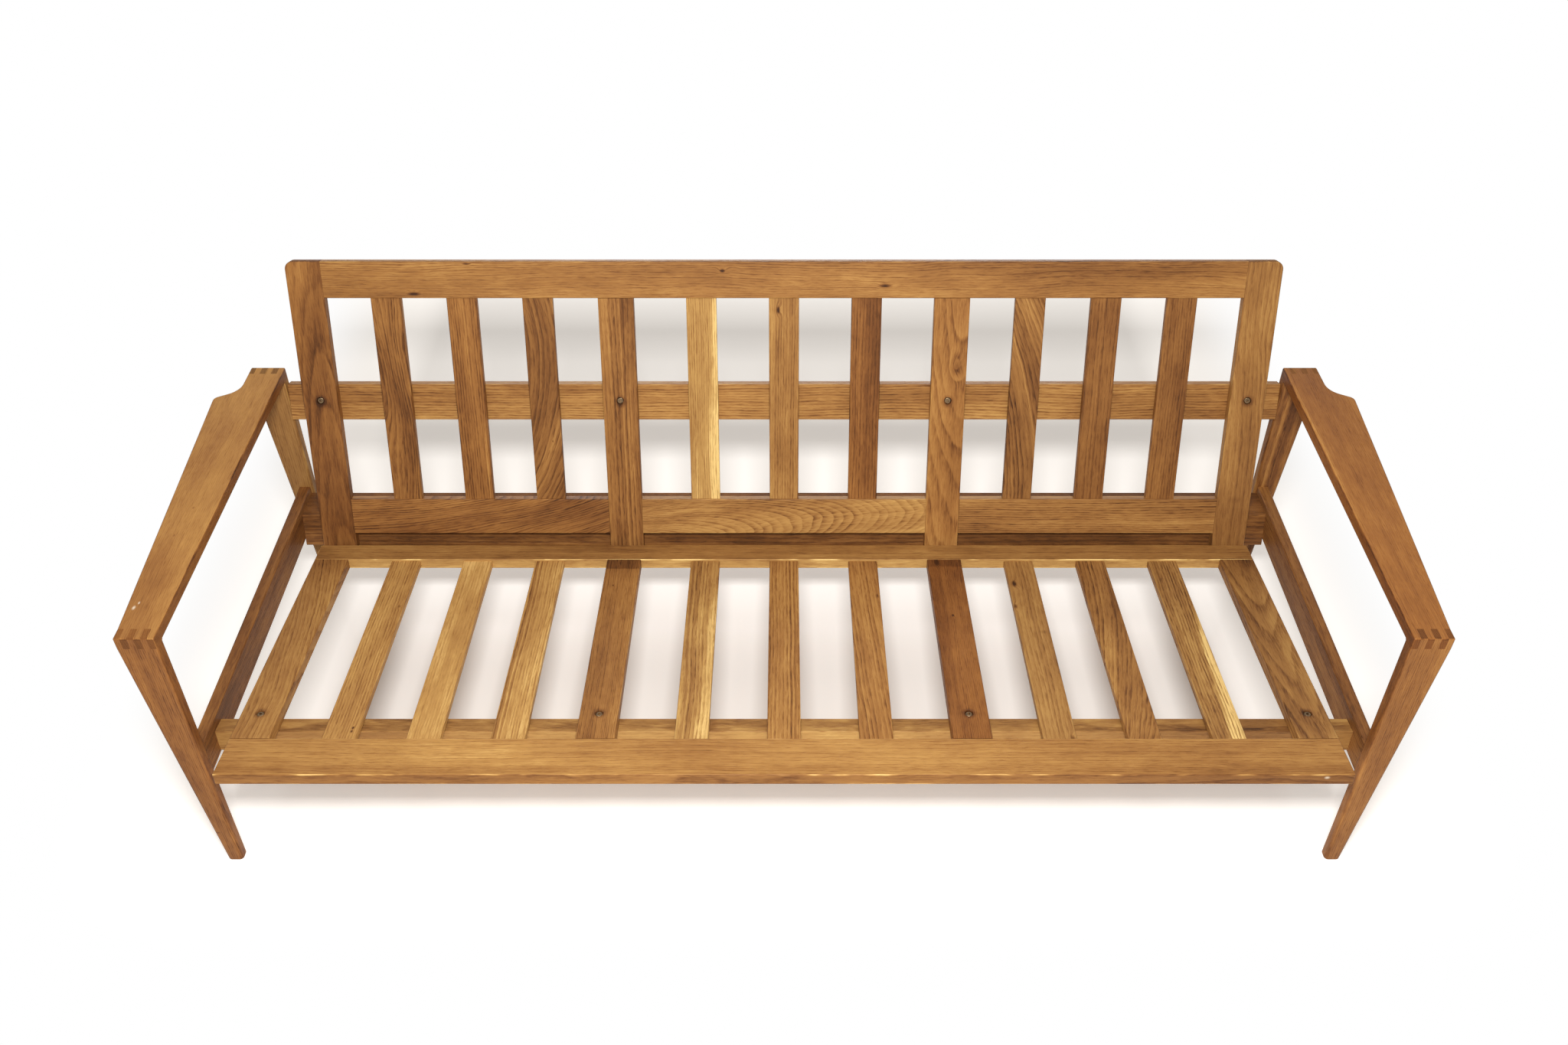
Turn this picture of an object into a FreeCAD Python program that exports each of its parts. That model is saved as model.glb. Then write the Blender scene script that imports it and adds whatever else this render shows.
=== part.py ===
# A slatted oak three-seat sofa frame: two finger-jointed arm frames, cross members, a seat frame
# and a back frame. Millimetres, with X to the right as seen from the front, Y to the back and Z up.
# The origin is on the floor, under the middle of the bounding box.
import FreeCAD, Part
import math
import os

import Sketcher

SIZES = {
    # Seat frame
    "frame_width": 1700.0,
    "seat_front_height": 274.5,
    "seat_angle": 6.2,
    "seat_back_gap": 13.4,
    "front_board_depth": 78.0,
    "rear_rail_depth": 45.0,
    "frame_thick": 20.0,
    # Slats, shared by the seat and the back
    "wide_slat": 61.0,
    "middle_slat_edge": 320.0,
    "slat_width": 52.0,
    "slat_thick": 12.0,
    # Back frame
    "back_run": 593.5,
    "stile_foot_gap": 3.5,
    "back_angle": 17.7,
    "back_height": 531.5,
    "back_thick": 18.0,
    "top_rail_height": 63.5,
    "bottom_rail_height": 68.0,
    "bottom_rail_rise": 28.0,
    "stile_corner_radius": 14.0,
    # Armrests
    "arm_gap": 30.0,
    "arm_height": 515.5,
    "arm_thick": 20.0,
    "arm_setback": 45.0,
    "arm_front_width": 58.0,
    "arm_shoulder_width": 98.0,
    "arm_rear_width": 59.5,
    "shoulder_run": 91.5,
    "shoulder_step": 21.5,
    "shoulder_radius": 12.0,
    "notch_radius": 34.0,
    # Legs and side rails
    "leg_thick": 20.0,
    "foot_inset": 6.0,
    "foot_width": 25.0,
    "foot_radius": 6.5,
    "rail_inset": 8.5,
    "rail_thick": 20.0,
    "rail_height": 60.0,
    "rail_drop": 15.0,
    "rail_tenon_length": 12.0,
    "rail_tenon_height": 40.0,
    # Cross members
    "stretcher_setback": 114.0,
    "stretcher_depth": 30.0,
    "stretcher_height": 40.0,
    "beam_drop": 13.5,
    "support_drop": 44.3,
    "support_thick": 20.0,
    "support_height": 66.0,
    "ledger_thick": 18.0,
    "ledger_overlap": 20.0,
    "ledger_reach": 45.0,
    "ledger_end_gap": 10.0,
    # Tenons and mortises
    "tenon_thick": 7.0,
    "tenon_length": 16.0,
    "tenon_shoulder": 6.0,
    "joint_clearance": 0.2,
    "tenon_end_gap": 1.0,
    # Rounded edges
    "edge_radius": 2.0,
    "arm_radius": 2.5,
    "slat_radius": 1.5,
    # Bolts through the seat and back frames
    "bolt_diameter": 6.0,
    "bolt_head_diameter": 11.0,
    "bolt_head_height": 3.0,
    "bolt_head_round": 1.2,
    "bolt_recess_diameter": 13.5,
    "bolt_recess_depth": 4.0,
    "bolt_grip": 12.0,
    "drive_width": 5.0,
    "drive_depth": 2.0,
    "seat_bolt_offset": 5.0,
    "back_bolt_rise": 8.0,
    # Connecting bolts with barrel nuts
    "link_diameter": 8.0,
    "link_head_diameter": 15.0,
    "link_head_height": 4.0,
    "link_reach": 60.0,
    "link_recess": 14.0,
    "nut_diameter": 12.0,
    "nut_length": 18.0,
    "nut_distance": 40.0,
    "hole_clearance": 0.3,
    # Dowels and screws
    "dowel_diameter": 6.0,
    "dowel_length": 22.0,
    "dowel_spacing": 12.0,
    "support_dowel_spacing": 18.0,
    "foot_dowel_diameter": 8.0,
    "foot_dowel_length": 22.0,
    "foot_dowel_rise": 22.0,
    "foot_dowel_depth": 9.0,
    "screw_diameter": 4.5,
    "screw_head_diameter": 9.0,
    "screw_head_height": 3.0,
    "screw_bite": 12.0,
    "screw_inset": 10.0,
}

NARROW_PER_BAY = 3
FINGERS = 6
SIDE_NAMES = {1: "right", -1: "left"}
LEDGER_SCREWS = 4
DRIVE_SIDES = 6
TOUCHING = 1e-3
PARALLEL_ANGLE = 2.5


class Size:
    """A number together with the sheet expression that gives it."""

    def __init__(self, text, value):
        self.text = text
        self.value = value

    def __float__(self):
        return float(self.value)

    def __add__(self, other):
        return combine(self, "+", other, float(self) + float(other))

    def __radd__(self, other):
        return combine(other, "+", self, float(other) + float(self))

    def __sub__(self, other):
        return combine(self, "-", other, float(self) - float(other))

    def __rsub__(self, other):
        return combine(other, "-", self, float(other) - float(self))

    def __mul__(self, other):
        return combine(self, "*", other, float(self) * float(other))

    def __rmul__(self, other):
        return combine(other, "*", self, float(other) * float(self))

    def __truediv__(self, other):
        return combine(self, "/", other, float(self) / float(other))

    def __rtruediv__(self, other):
        return combine(other, "/", self, float(other) / float(self))

    def __neg__(self):
        return 0.0 - self


def text_of(amount):
    return amount.text if isinstance(amount, Size) else f"({amount:g})"


def combine(left, sign, right, value):
    return Size(f"({text_of(left)} {sign} {text_of(right)})", value)


def sine(angle):
    return Size(f"sin({angle.text})", math.sin(math.radians(float(angle))))


def cosine(angle):
    return Size(f"cos({angle.text})", math.cos(math.radians(float(angle))))


def tangent(angle):
    return Size(f"tan({angle.text})", math.tan(math.radians(float(angle))))


def make_sheet(document):
    sheet = document.addObject("Spreadsheet::Sheet", "Sizes")
    for row, (alias, value) in enumerate(SIZES.items(), start=1):
        sheet.set(f"A{row}", alias.replace("_", " "))
        sheet.set(f"B{row}", str(value))
        sheet.setAlias(f"B{row}", alias)
    document.recompute()
    return {alias: Size(f"Sizes.{alias}", value) for alias, value in SIZES.items()}


doc = FreeCAD.newDocument("SlattedSofa")
size = make_sheet(doc)
nodes = []

# Derived places
frame_half = size["frame_width"] / 2.0
middle_edge = size["middle_slat_edge"]
slope_sine = sine(size["seat_angle"])
slope_cosine = cosine(size["seat_angle"])
slope_tangent = tangent(size["seat_angle"])
lean_sine = sine(size["back_angle"])
lean_cosine = cosine(size["back_angle"])
lean_tangent = tangent(size["back_angle"])

back_reach = size["back_height"] * lean_sine + size["back_thick"] * lean_cosine
front_overhang = size["frame_thick"] * slope_sine
seat_front_y = (front_overhang - size["back_run"] - back_reach) / 2.0
back_foot_y = seat_front_y + size["back_run"]


def seat_underside(y):
    """Height of the plane under the seat frame at a depth y."""
    level = size["seat_front_height"] - size["frame_thick"] / slope_cosine
    return level - (y - seat_front_y) * slope_tangent


# The stiles stop just above the plane under the seat frame, and the seat frame just in front of the stiles.
stile_back_y = back_foot_y + size["back_thick"] * lean_cosine
stile_back_z = seat_underside(stile_back_y) + size["stile_foot_gap"]
back_foot_height = stile_back_z + size["back_thick"] * lean_sine
foot_drop = size["seat_front_height"] - back_foot_height
seat_room = size["back_run"] - size["seat_back_gap"] + foot_drop * lean_tangent
seat_depth = seat_room / (slope_cosine + slope_sine * lean_tangent)

arm_inner = frame_half + size["arm_gap"]
arm_bottom = size["arm_height"] - size["arm_thick"]
rail_inner = arm_inner + size["rail_inset"]
rail_middle = rail_inner + size["rail_thick"] / 2.0
rail_top = size["seat_front_height"] - size["rail_drop"]
rail_bottom = rail_top - size["rail_height"]

# The support rail lies against the back of the stiles, and its middle crosses the middle of the back legs.
support_depth = size["back_thick"] + size["support_thick"] / 2.0
support_rise = arm_bottom - size["support_drop"] - back_foot_height + support_depth * lean_sine
support_middle = support_rise / lean_cosine
support_low = support_middle - size["support_height"] / 2.0
back_leg_middle = back_foot_y + support_depth * lean_cosine + support_middle * lean_sine

# The rear stretcher fills the space from the back of the stiles to the front of the back legs.
beam_top = rail_top - size["beam_drop"]
beam_front_y = stile_back_y + (beam_top - stile_back_z) * lean_tangent
beam_rear_y = back_leg_middle - size["leg_thick"] / 2.0
beam_middle_y = (beam_front_y + beam_rear_y) / 2.0
beam_middle_z = (beam_top + seat_underside(beam_middle_y)) / 2.0

arm_front_y = seat_front_y + size["arm_setback"]
arm_rear_y = beam_rear_y + size["leg_thick"]
arm_length = arm_rear_y - arm_front_y

bearer_run = seat_depth - size["front_board_depth"] - size["rear_rail_depth"]
rear_rail_front = seat_depth - size["rear_rail_depth"]
top_rail_low = size["back_height"] - size["top_rail_height"]
bottom_rail_top = size["bottom_rail_rise"] + size["bottom_rail_height"]
end_middle = frame_half - size["wide_slat"] / 2.0
inner_middle = middle_edge - size["wide_slat"] / 2.0
end_inner = frame_half - size["wide_slat"]
inner_edge = middle_edge - size["wide_slat"]

X_AXIS = FreeCAD.Vector(1, 0, 0)
Y_AXIS = FreeCAD.Vector(0, 1, 0)
Z_AXIS = FreeCAD.Vector(0, 0, 1)


def point(x, y, z):
    return FreeCAD.Vector(float(x), float(y), float(z))


seat_place = FreeCAD.Placement(point(0, seat_front_y, size["seat_front_height"]),
                               FreeCAD.Rotation(X_AXIS, -float(size["seat_angle"])))
back_place = FreeCAD.Placement(point(0, back_foot_y, back_foot_height),
                               FreeCAD.Rotation(X_AXIS, -float(size["back_angle"])))
world_place = FreeCAD.Placement()


def bind(feature, name, amount):
    feature.setExpression(name, text_of(amount))


def block(corner, spans):
    """A box from its low corner and its three spans."""
    box = doc.addObject("Part::Box", "Block")
    for name, span in zip(("Length", "Width", "Height"), spans):
        bind(box, name, span)
    box.Placement.Base = point(*corner)
    return box


def rod(start, direction, diameter, length):
    """A round bar from the middle of one end."""
    bar = doc.addObject("Part::Cylinder", "Rod")
    bind(bar, "Radius", diameter / 2.0)
    bind(bar, "Height", length)
    bar.Placement = FreeCAD.Placement(point(*start), FreeCAD.Rotation(Z_AXIS, direction))
    return bar


def united(pieces):
    if len(pieces) == 1:
        return pieces[0]
    fuse = doc.addObject("Part::MultiFuse", "United")
    fuse.Shapes = pieces
    return fuse


def without(base, cutters):
    if not cutters:
        return base
    cut = doc.addObject("Part::Cut", "Trimmed")
    cut.Base = base
    cut.Tool = united(cutters)
    return cut


def softened(base, radii):
    """Rounds the edges that radii(edge) gives a pair of end radii for."""
    doc.recompute()
    chosen = []
    for number, edge in enumerate(base.Shape.Edges, start=1):
        pair = radii(edge)
        if pair:
            chosen.append((number, float(pair[0]), float(pair[1])))
    fillet = doc.addObject("Part::Fillet", "Softened")
    fillet.Base = base
    fillet.Edges = chosen
    return fillet


def along(axis, radius):
    """Picks the straight edges parallel to an axis."""
    least_cosine = math.cos(math.radians(PARALLEL_ANGLE))

    def radii(edge):
        direction = edge.tangentAt(edge.FirstParameter)
        return (radius, radius) if abs(direction.dot(axis)) > least_cosine else None
    return radii


def everywhere(radius):
    return lambda edge: (radius, radius)


def keep(label, feature, placement=world_place):
    feature.Label = label
    feature.Placement = placement
    nodes.append(feature)
    return feature


def keep_group(label, pieces, placement=world_place):
    group = doc.addObject("Part::Compound", "Group")
    group.Links = pieces
    return keep(label, group, placement)


def mirrored(feature):
    mirror = doc.addObject("Part::Mirroring", "Mirrored")
    mirror.Source = feature
    mirror.Base = FreeCAD.Vector(0, 0, 0)
    mirror.Normal = X_AXIS
    return mirror


def keep_pair(stem, feature):
    """Keeps a piece on the right and its mirror image on the left."""
    keep(f"{stem}_right", feature)
    keep(f"{stem}_left", mirrored(feature))


def outline_body(name, plane_role, corners, depth, reverse=False, middle=False):
    """A body padded from one closed outline of straight sides, given by its corners in the plane."""
    body = doc.addObject("PartDesign::Body", name)
    sketch = body.newObject("Sketcher::SketchObject", f"{name}_outline")
    plane = next(item for item in body.Origin.OriginFeatures if item.Role == plane_role)
    sketch.AttachmentSupport = [(plane, "")]
    sketch.MapMode = "FlatFace"
    spots = [FreeCAD.Vector(float(across), float(up), 0) for across, up in corners]
    count = len(corners)
    for number in range(count):
        sketch.addGeometry(Part.LineSegment(spots[number], spots[(number + 1) % count]), False)
    for number in range(count):
        sketch.addConstraint(Sketcher.Constraint("Coincident", number, 2, (number + 1) % count, 1))
    for number, pair in enumerate(corners):
        for kind, amount in zip(("DistanceX", "DistanceY"), pair):
            place = sketch.addConstraint(Sketcher.Constraint(kind, -1, 1, number, 1, float(amount)))
            if isinstance(amount, Size):
                sketch.setExpression(f"Constraints[{place}]", amount.text)
    pad = body.newObject("PartDesign::Pad", f"{name}_pad")
    pad.Profile = sketch
    pad.Reversed = reverse
    pad.Midplane = middle
    bind(pad, "Length", depth)
    doc.recompute()
    return body


# Slat places


def bay_middles(low, high):
    """Middles of the narrow slats that share a bay with equal gaps."""
    gap = (high - low - NARROW_PER_BAY * size["slat_width"]) / (NARROW_PER_BAY + 1)
    first = low + gap + size["slat_width"] / 2.0
    return [first + number * (gap + size["slat_width"]) for number in range(NARROW_PER_BAY)]


wide_middles = [-end_middle, -inner_middle, inner_middle, end_middle]
narrow_middles = (bay_middles(-end_inner, -middle_edge) + bay_middles(-inner_edge, inner_edge)
                  + bay_middles(middle_edge, end_inner))
WIDE_NAMES = ["left_end", "left_middle", "right_middle", "right_end"]


# Tenons run along local Y on the seat and along local Z on the back, so one function makes both.


def tongue(middle, width, low, length, axis, thick_middle, slack):
    """A tenon, or with slack its mortise, at middle across the board and thick_middle through it."""
    across = width - 2.0 * size["tenon_shoulder"] + 2.0 * slack
    through = size["tenon_thick"] + 2.0 * slack
    left = middle - across / 2.0
    depth = thick_middle - through / 2.0
    if axis is Y_AXIS:
        return block((left, low, depth), (across, length, through))
    return block((left, depth, low), (across, through, length))


tenon_length = size["tenon_length"]
mortise_depth = tenon_length + size["tenon_end_gap"]
clearance = size["joint_clearance"]
seat_tenon_level = -size["frame_thick"] / 2.0
back_tenon_level = size["back_thick"] / 2.0
bolt_hole = size["bolt_diameter"] + 2.0 * size["hole_clearance"]
all_middles = ([(middle, size["wide_slat"]) for middle in wide_middles]
               + [(middle, size["slat_width"]) for middle in narrow_middles])


# Bolts with a round head in a recess, through the seat and back frames


def drive_socket(crown, direction):
    """The six-sided socket in a bolt's head."""
    prism = doc.addObject("Part::Prism", "Socket")
    prism.Polygon = DRIVE_SIDES
    bind(prism, "Circumradius", size["drive_width"] / 2.0)
    bind(prism, "Height", size["drive_depth"])
    prism.Placement = FreeCAD.Placement(crown, FreeCAD.Rotation(Z_AXIS, direction))
    return prism


def domed_head(crown, direction, diameter, height):
    """A round head with its rim rounded on the side that shows, and the socket that drives it."""
    def radii(edge):
        at_crown = (edge.CenterOfMass - crown).Length < TOUCHING
        return (size["bolt_head_round"], size["bolt_head_round"]) if at_crown else None

    head = softened(rod(crown, direction, diameter, height), radii)
    return without(head, [drive_socket(crown, direction)])


def recessed_bolt(spot, direction, thickness):
    """A bolt whose head sits in its recess, spot being on the board's outer face."""
    seat = spot + direction * float(size["bolt_recess_depth"])
    crown = seat - direction * float(size["bolt_head_height"])
    shank = thickness - size["bolt_recess_depth"] + size["bolt_grip"]
    head = domed_head(crown, direction, size["bolt_head_diameter"], size["bolt_head_height"])
    return united([head, rod(seat, direction, size["bolt_diameter"], shank)])


def recessed_hole(spot, direction, thickness):
    recess = rod(spot, direction, size["bolt_recess_diameter"], size["bolt_recess_depth"])
    return [recess, rod(spot, direction, bolt_hole, thickness)]


def blind_hole(spot, direction):
    return rod(spot, direction, bolt_hole, size["bolt_grip"] + size["tenon_end_gap"])


DOWN = FreeCAD.Vector(0, 0, -1)
seat_bolt_y = size["stretcher_setback"] + size["stretcher_depth"] / 2.0 + size["seat_bolt_offset"]
back_bolt_z = support_middle + size["back_bolt_rise"]
seat_bolt_spots = [point(middle, seat_bolt_y, 0) for middle in wide_middles]
back_bolt_spots = [point(middle, 0, back_bolt_z) for middle in wide_middles]


# Seat frame, in the seat's own tilted frame: Y runs back from the front edge, Z is 0 on top


def seat_front_board():
    mortise_low = size["front_board_depth"] - mortise_depth
    board = softened(block((-frame_half, 0, -size["frame_thick"]),
                           (2.0 * frame_half, size["front_board_depth"], size["frame_thick"])),
                     everywhere(size["edge_radius"]))
    mortises = [tongue(middle, width, mortise_low, mortise_depth, Y_AXIS, seat_tenon_level, clearance)
                for middle, width in all_middles]
    keep("seat_front_board", without(board, mortises), seat_place)


def seat_rear_rail():
    rail = softened(block((-frame_half, rear_rail_front, -size["frame_thick"]),
                          (2.0 * frame_half, size["rear_rail_depth"], size["frame_thick"])),
                    everywhere(size["edge_radius"]))
    mortises = [tongue(middle, width, rear_rail_front, mortise_depth, Y_AXIS, seat_tenon_level, clearance)
                for middle, width in all_middles]
    screw_holes = [screw_hole(spot) for spot in rail_screw_spots]
    keep("seat_rear_rail", without(rail, mortises + screw_holes), seat_place)


def seat_slat(label, middle, width, thick, radius, cutters):
    low = seat_tenon_level - thick / 2.0
    start = size["front_board_depth"]
    bar = block((middle - width / 2.0, start, low), (width, bearer_run, thick))
    bar = softened(bar, along(Y_AXIS, radius))
    front = tongue(middle, width, start - tenon_length, tenon_length, Y_AXIS, seat_tenon_level, 0.0)
    rear = tongue(middle, width, rear_rail_front, tenon_length, Y_AXIS, seat_tenon_level, 0.0)
    keep(label, without(united([bar, front, rear]), cutters), seat_place)


def seat_slats():
    for name, middle, spot in zip(WIDE_NAMES, wide_middles, seat_bolt_spots):
        hole = recessed_hole(spot, DOWN, size["frame_thick"])
        seat_slat(f"seat_bearer_{name}", middle, size["wide_slat"], size["frame_thick"],
                  size["edge_radius"], hole)
    for number, middle in enumerate(narrow_middles, start=1):
        seat_slat(f"seat_slat_{number:02d}", middle, size["slat_width"], size["slat_thick"],
                  size["slat_radius"], [])


def seat_bolts():
    bolts = [recessed_bolt(spot, DOWN, size["frame_thick"]) for spot in seat_bolt_spots]
    keep_group("seat_bolts", bolts, seat_place)


# Back frame, in its own leaning frame: Y runs through the board from its front face, Z up along it


def face_edges(edge):
    """Rounds every edge that lies in the board's front or rear face."""
    flat = edge.BoundBox.YLength < TOUCHING
    return (size["edge_radius"], size["edge_radius"]) if flat else None


def back_stile(label, side):
    low = end_inner if side > 0 else -frame_half
    bar = block((low, 0, 0), (size["wide_slat"], size["back_thick"], size["back_height"]))
    outer = side * float(frame_half)
    top = float(size["back_height"])

    def radii(edge):
        middle = edge.CenterOfMass
        if abs(middle.x - outer) < TOUCHING and abs(middle.z - top) < TOUCHING:
            return size["stile_corner_radius"], size["stile_corner_radius"]
        return None

    shaped = softened(softened(bar, radii), face_edges)
    spot = back_bolt_spots[3] if side > 0 else back_bolt_spots[0]
    inner = end_inner if side > 0 else -end_inner
    cutters = recessed_hole(spot, Y_AXIS, size["back_thick"]) + [foot_dowel_hole(spot.x)]
    cutters.append(side_mortise(inner, side, top_rail_low, size["top_rail_height"]))
    cutters.append(side_mortise(inner, side, size["bottom_rail_rise"], size["bottom_rail_height"]))
    keep(label, without(shaped, cutters), back_place)


def side_tongue(inner, side, low, height, length, slack):
    """A rail's end tenon, or with slack its mortise, pointing along X from the joint at inner."""
    tall = height - 2.0 * size["tenon_shoulder"] + 2.0 * slack
    through = size["tenon_thick"] + 2.0 * slack
    left = inner if side > 0 else inner - length
    corner = (left, back_tenon_level - through / 2.0, low + (height - tall) / 2.0)
    return block(corner, (length, through, tall))


def side_mortise(inner, side, low, height):
    return side_tongue(inner, side, low, height, mortise_depth, clearance)


def back_rail(label, low_x, high_x, low, height, cutters):
    bar = softened(block((low_x, 0, low), (high_x - low_x, size["back_thick"], height)),
                   along(X_AXIS, size["edge_radius"]))
    right = side_tongue(high_x, 1, low, height, tenon_length, 0.0)
    left = side_tongue(low_x, -1, low, height, tenon_length, 0.0)
    keep(label, without(united([bar, right, left]), cutters), back_place)


def back_rails():
    reach_up = all_middles[1:3] + all_middles[4:]
    top_mortises = [tongue(middle, width, top_rail_low, mortise_depth, Z_AXIS, back_tenon_level, clearance)
                    for middle, width in reach_up]
    back_rail("back_top_rail", -end_inner, end_inner, top_rail_low, size["top_rail_height"], top_mortises)
    bays = {"left": (-end_inner, -middle_edge), "middle": (-inner_edge, inner_edge),
            "right": (middle_edge, end_inner)}
    for name, (low_x, high_x) in bays.items():
        mortises = [tongue(middle, size["slat_width"], bottom_rail_top - mortise_depth, mortise_depth,
                           Z_AXIS, back_tenon_level, clearance) for middle in bay_middles(low_x, high_x)]
        back_rail(f"back_bottom_rail_{name}", low_x, high_x, size["bottom_rail_rise"],
                  size["bottom_rail_height"], mortises)


def back_middle_stile(label, side):
    middle = side * inner_middle
    bar = softened(block((middle - size["wide_slat"] / 2.0, 0, 0),
                         (size["wide_slat"], size["back_thick"], top_rail_low)),
                   along(Z_AXIS, size["edge_radius"]))
    tenon = tongue(middle, size["wide_slat"], top_rail_low, tenon_length, Z_AXIS, back_tenon_level, 0.0)
    spot = back_bolt_spots[2] if side > 0 else back_bolt_spots[1]
    cutters = recessed_hole(spot, Y_AXIS, size["back_thick"]) + [foot_dowel_hole(spot.x)]
    for edge_side in (1, -1):
        joint = middle + edge_side * size["wide_slat"] / 2.0
        cutters.append(side_mortise(joint, -edge_side, size["bottom_rail_rise"],
                                    size["bottom_rail_height"]))
    keep(label, without(united([bar, tenon]), cutters), back_place)


def back_slats():
    width = size["slat_width"]
    front = back_tenon_level - size["slat_thick"] / 2.0
    spans = (width, size["slat_thick"], top_rail_low - bottom_rail_top)
    foot_low = bottom_rail_top - tenon_length
    for number, middle in enumerate(narrow_middles, start=1):
        bar = softened(block((middle - width / 2.0, front, bottom_rail_top), spans),
                       along(Z_AXIS, size["slat_radius"]))
        top = tongue(middle, width, top_rail_low, tenon_length, Z_AXIS, back_tenon_level, 0.0)
        foot = tongue(middle, width, foot_low, tenon_length, Z_AXIS, back_tenon_level, 0.0)
        keep(f"back_slat_{number:02d}", united([bar, top, foot]), back_place)


def back_bolts():
    bolts = [recessed_bolt(spot, Y_AXIS, size["back_thick"]) for spot in back_bolt_spots]
    keep_group("back_bolts", bolts, back_place)


# Dowels that locate the feet of the stiles on the rear stretcher


def foot_dowel(x, diameter, slack):
    start = size["back_thick"] - size["foot_dowel_depth"] - slack
    length = size["foot_dowel_length"] + 2.0 * slack
    return rod((x, start, size["foot_dowel_rise"]), Y_AXIS, diameter, length)


def foot_dowel_hole(x):
    slack = size["hole_clearance"]
    return foot_dowel(x, size["foot_dowel_diameter"] + 2.0 * slack, slack)


def foot_dowels():
    dowels = [foot_dowel(middle, size["foot_dowel_diameter"], 0.0) for middle in wide_middles]
    keep_group("stile_dowels", dowels, back_place)


# Arm frames, made on the right and mirrored


def corner_block(width, low_y, free_y):
    """The block an armrest and a leg share at a corner, its outer edges and its free end rounded."""
    cube = block((arm_inner, low_y, arm_bottom), (width, size["leg_thick"], size["arm_thick"]))
    top = float(size["arm_height"])
    end = float(free_y)

    def radii(edge):
        middle = edge.CenterOfMass
        at_end = abs(middle.y - end) < TOUCHING
        upright = edge.BoundBox.ZLength > TOUCHING
        across = edge.BoundBox.XLength > TOUCHING
        on_top = abs(middle.z - top) < TOUCHING
        if (upright and at_end) or (on_top and (at_end or not across)):
            return size["arm_radius"], size["arm_radius"]
        return None

    return softened(cube, radii)


def fingers(width, low_y, free_y, for_leg):
    """Every other finger of a corner joint, counted from the outer side, the first being the leg's."""
    finger = width / FINGERS
    first = FINGERS - 1 if for_leg else FINGERS - 2
    spans = (finger, size["leg_thick"], size["arm_thick"])
    slots = [block((arm_inner + number * finger, low_y, arm_bottom), spans)
             for number in range(first, -1, -2)]
    common = doc.addObject("Part::Common", "Fingers")
    common.Base = corner_block(width, low_y, free_y)
    common.Tool = united(slots)
    return common


def armrest():
    """The board between the legs, then its fingers at both ends."""
    front = size["leg_thick"]
    rear = arm_length - size["leg_thick"]
    shoulder = arm_length - size["shoulder_run"]
    corners = [(0.0, front), (size["arm_front_width"], front), (size["arm_shoulder_width"], shoulder),
               (size["arm_rear_width"], shoulder + size["shoulder_step"]), (size["arm_rear_width"], rear),
               (0.0, rear)]
    board = outline_body("Armrest", "XY_Plane", corners, size["arm_thick"])
    board.Placement.Base = point(arm_inner, arm_front_y, arm_bottom)
    shoulder_x = float(arm_inner + size["arm_shoulder_width"])
    notch_x = float(arm_inner + size["arm_rear_width"])
    notch_y = float(arm_front_y + shoulder + size["shoulder_step"])

    def corner_radii(edge):
        box = edge.BoundBox
        if box.ZLength < TOUCHING or box.XLength > TOUCHING:
            return None
        if abs(box.XMin - shoulder_x) < TOUCHING:
            return size["shoulder_radius"], size["shoulder_radius"]
        if abs(box.XMin - notch_x) < TOUCHING and abs(box.YMin - notch_y) < TOUCHING:
            return size["notch_radius"], size["notch_radius"]
        return None

    shaped = softened(board, corner_radii)
    front_end = float(arm_front_y + front)
    rear_end = float(arm_front_y + rear)

    def rim_radii(edge):
        box = edge.BoundBox
        at_end = min(abs(box.YMin - front_end), abs(box.YMax - rear_end)) < TOUCHING
        if box.ZLength > TOUCHING or (at_end and box.YLength < TOUCHING):
            return None
        return size["arm_radius"], size["arm_radius"]

    rounded = softened(shaped, rim_radii)
    front_fingers = fingers(size["arm_front_width"], arm_front_y, arm_front_y, False)
    rear_fingers = fingers(size["arm_rear_width"], beam_rear_y, arm_rear_y, False)
    keep_pair("armrest", united([rounded, front_fingers, rear_fingers]))


def rail_tongue(low_y, length, slack):
    tall = size["rail_tenon_height"] + 2.0 * slack
    through = size["tenon_thick"] + 2.0 * slack
    low = rail_bottom + (size["rail_height"] - tall) / 2.0
    return block((rail_middle - through / 2.0, low_y, low), (through, length, tall))


rail_mortise_depth = size["rail_tenon_length"] + size["tenon_end_gap"]


def leg(stem, top_width, low_y, free_y, cutters):
    """A tapered board, its wide face to the front, with fingers that pass up through the armrest."""
    foot_outer = size["foot_inset"] + size["foot_width"]
    corners = [(size["foot_inset"], 0.0), (foot_outer, 0.0), (top_width, arm_bottom), (0.0, arm_bottom)]
    name = stem.title().replace("_", "")
    board = outline_body(name, "XZ_Plane", corners, size["leg_thick"], reverse=True)
    board.Placement.Base = point(arm_inner, low_y, 0)

    def radii(edge):
        box = edge.BoundBox
        if box.ZLength < TOUCHING:
            return None
        low_first = edge.Vertexes[0].Point.z < edge.Vertexes[1].Point.z
        pair = (size["foot_radius"], size["arm_radius"])
        return pair if low_first else pair[::-1]

    tapered = softened(board, radii)

    def foot_radii(edge):
        on_floor = edge.BoundBox.ZMax < TOUCHING
        return (size["edge_radius"], size["edge_radius"]) if on_floor else None

    rounded = softened(tapered, foot_radii)
    joined = united([rounded, fingers(top_width, low_y, free_y, True)])
    keep_pair(stem, without(joined, cutters))


def front_leg():
    mortise_low = arm_front_y + size["leg_thick"] - rail_mortise_depth
    mortise = rail_tongue(mortise_low, rail_mortise_depth, clearance)
    leg("front_leg", size["arm_front_width"], arm_front_y, arm_front_y, [mortise])


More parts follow.
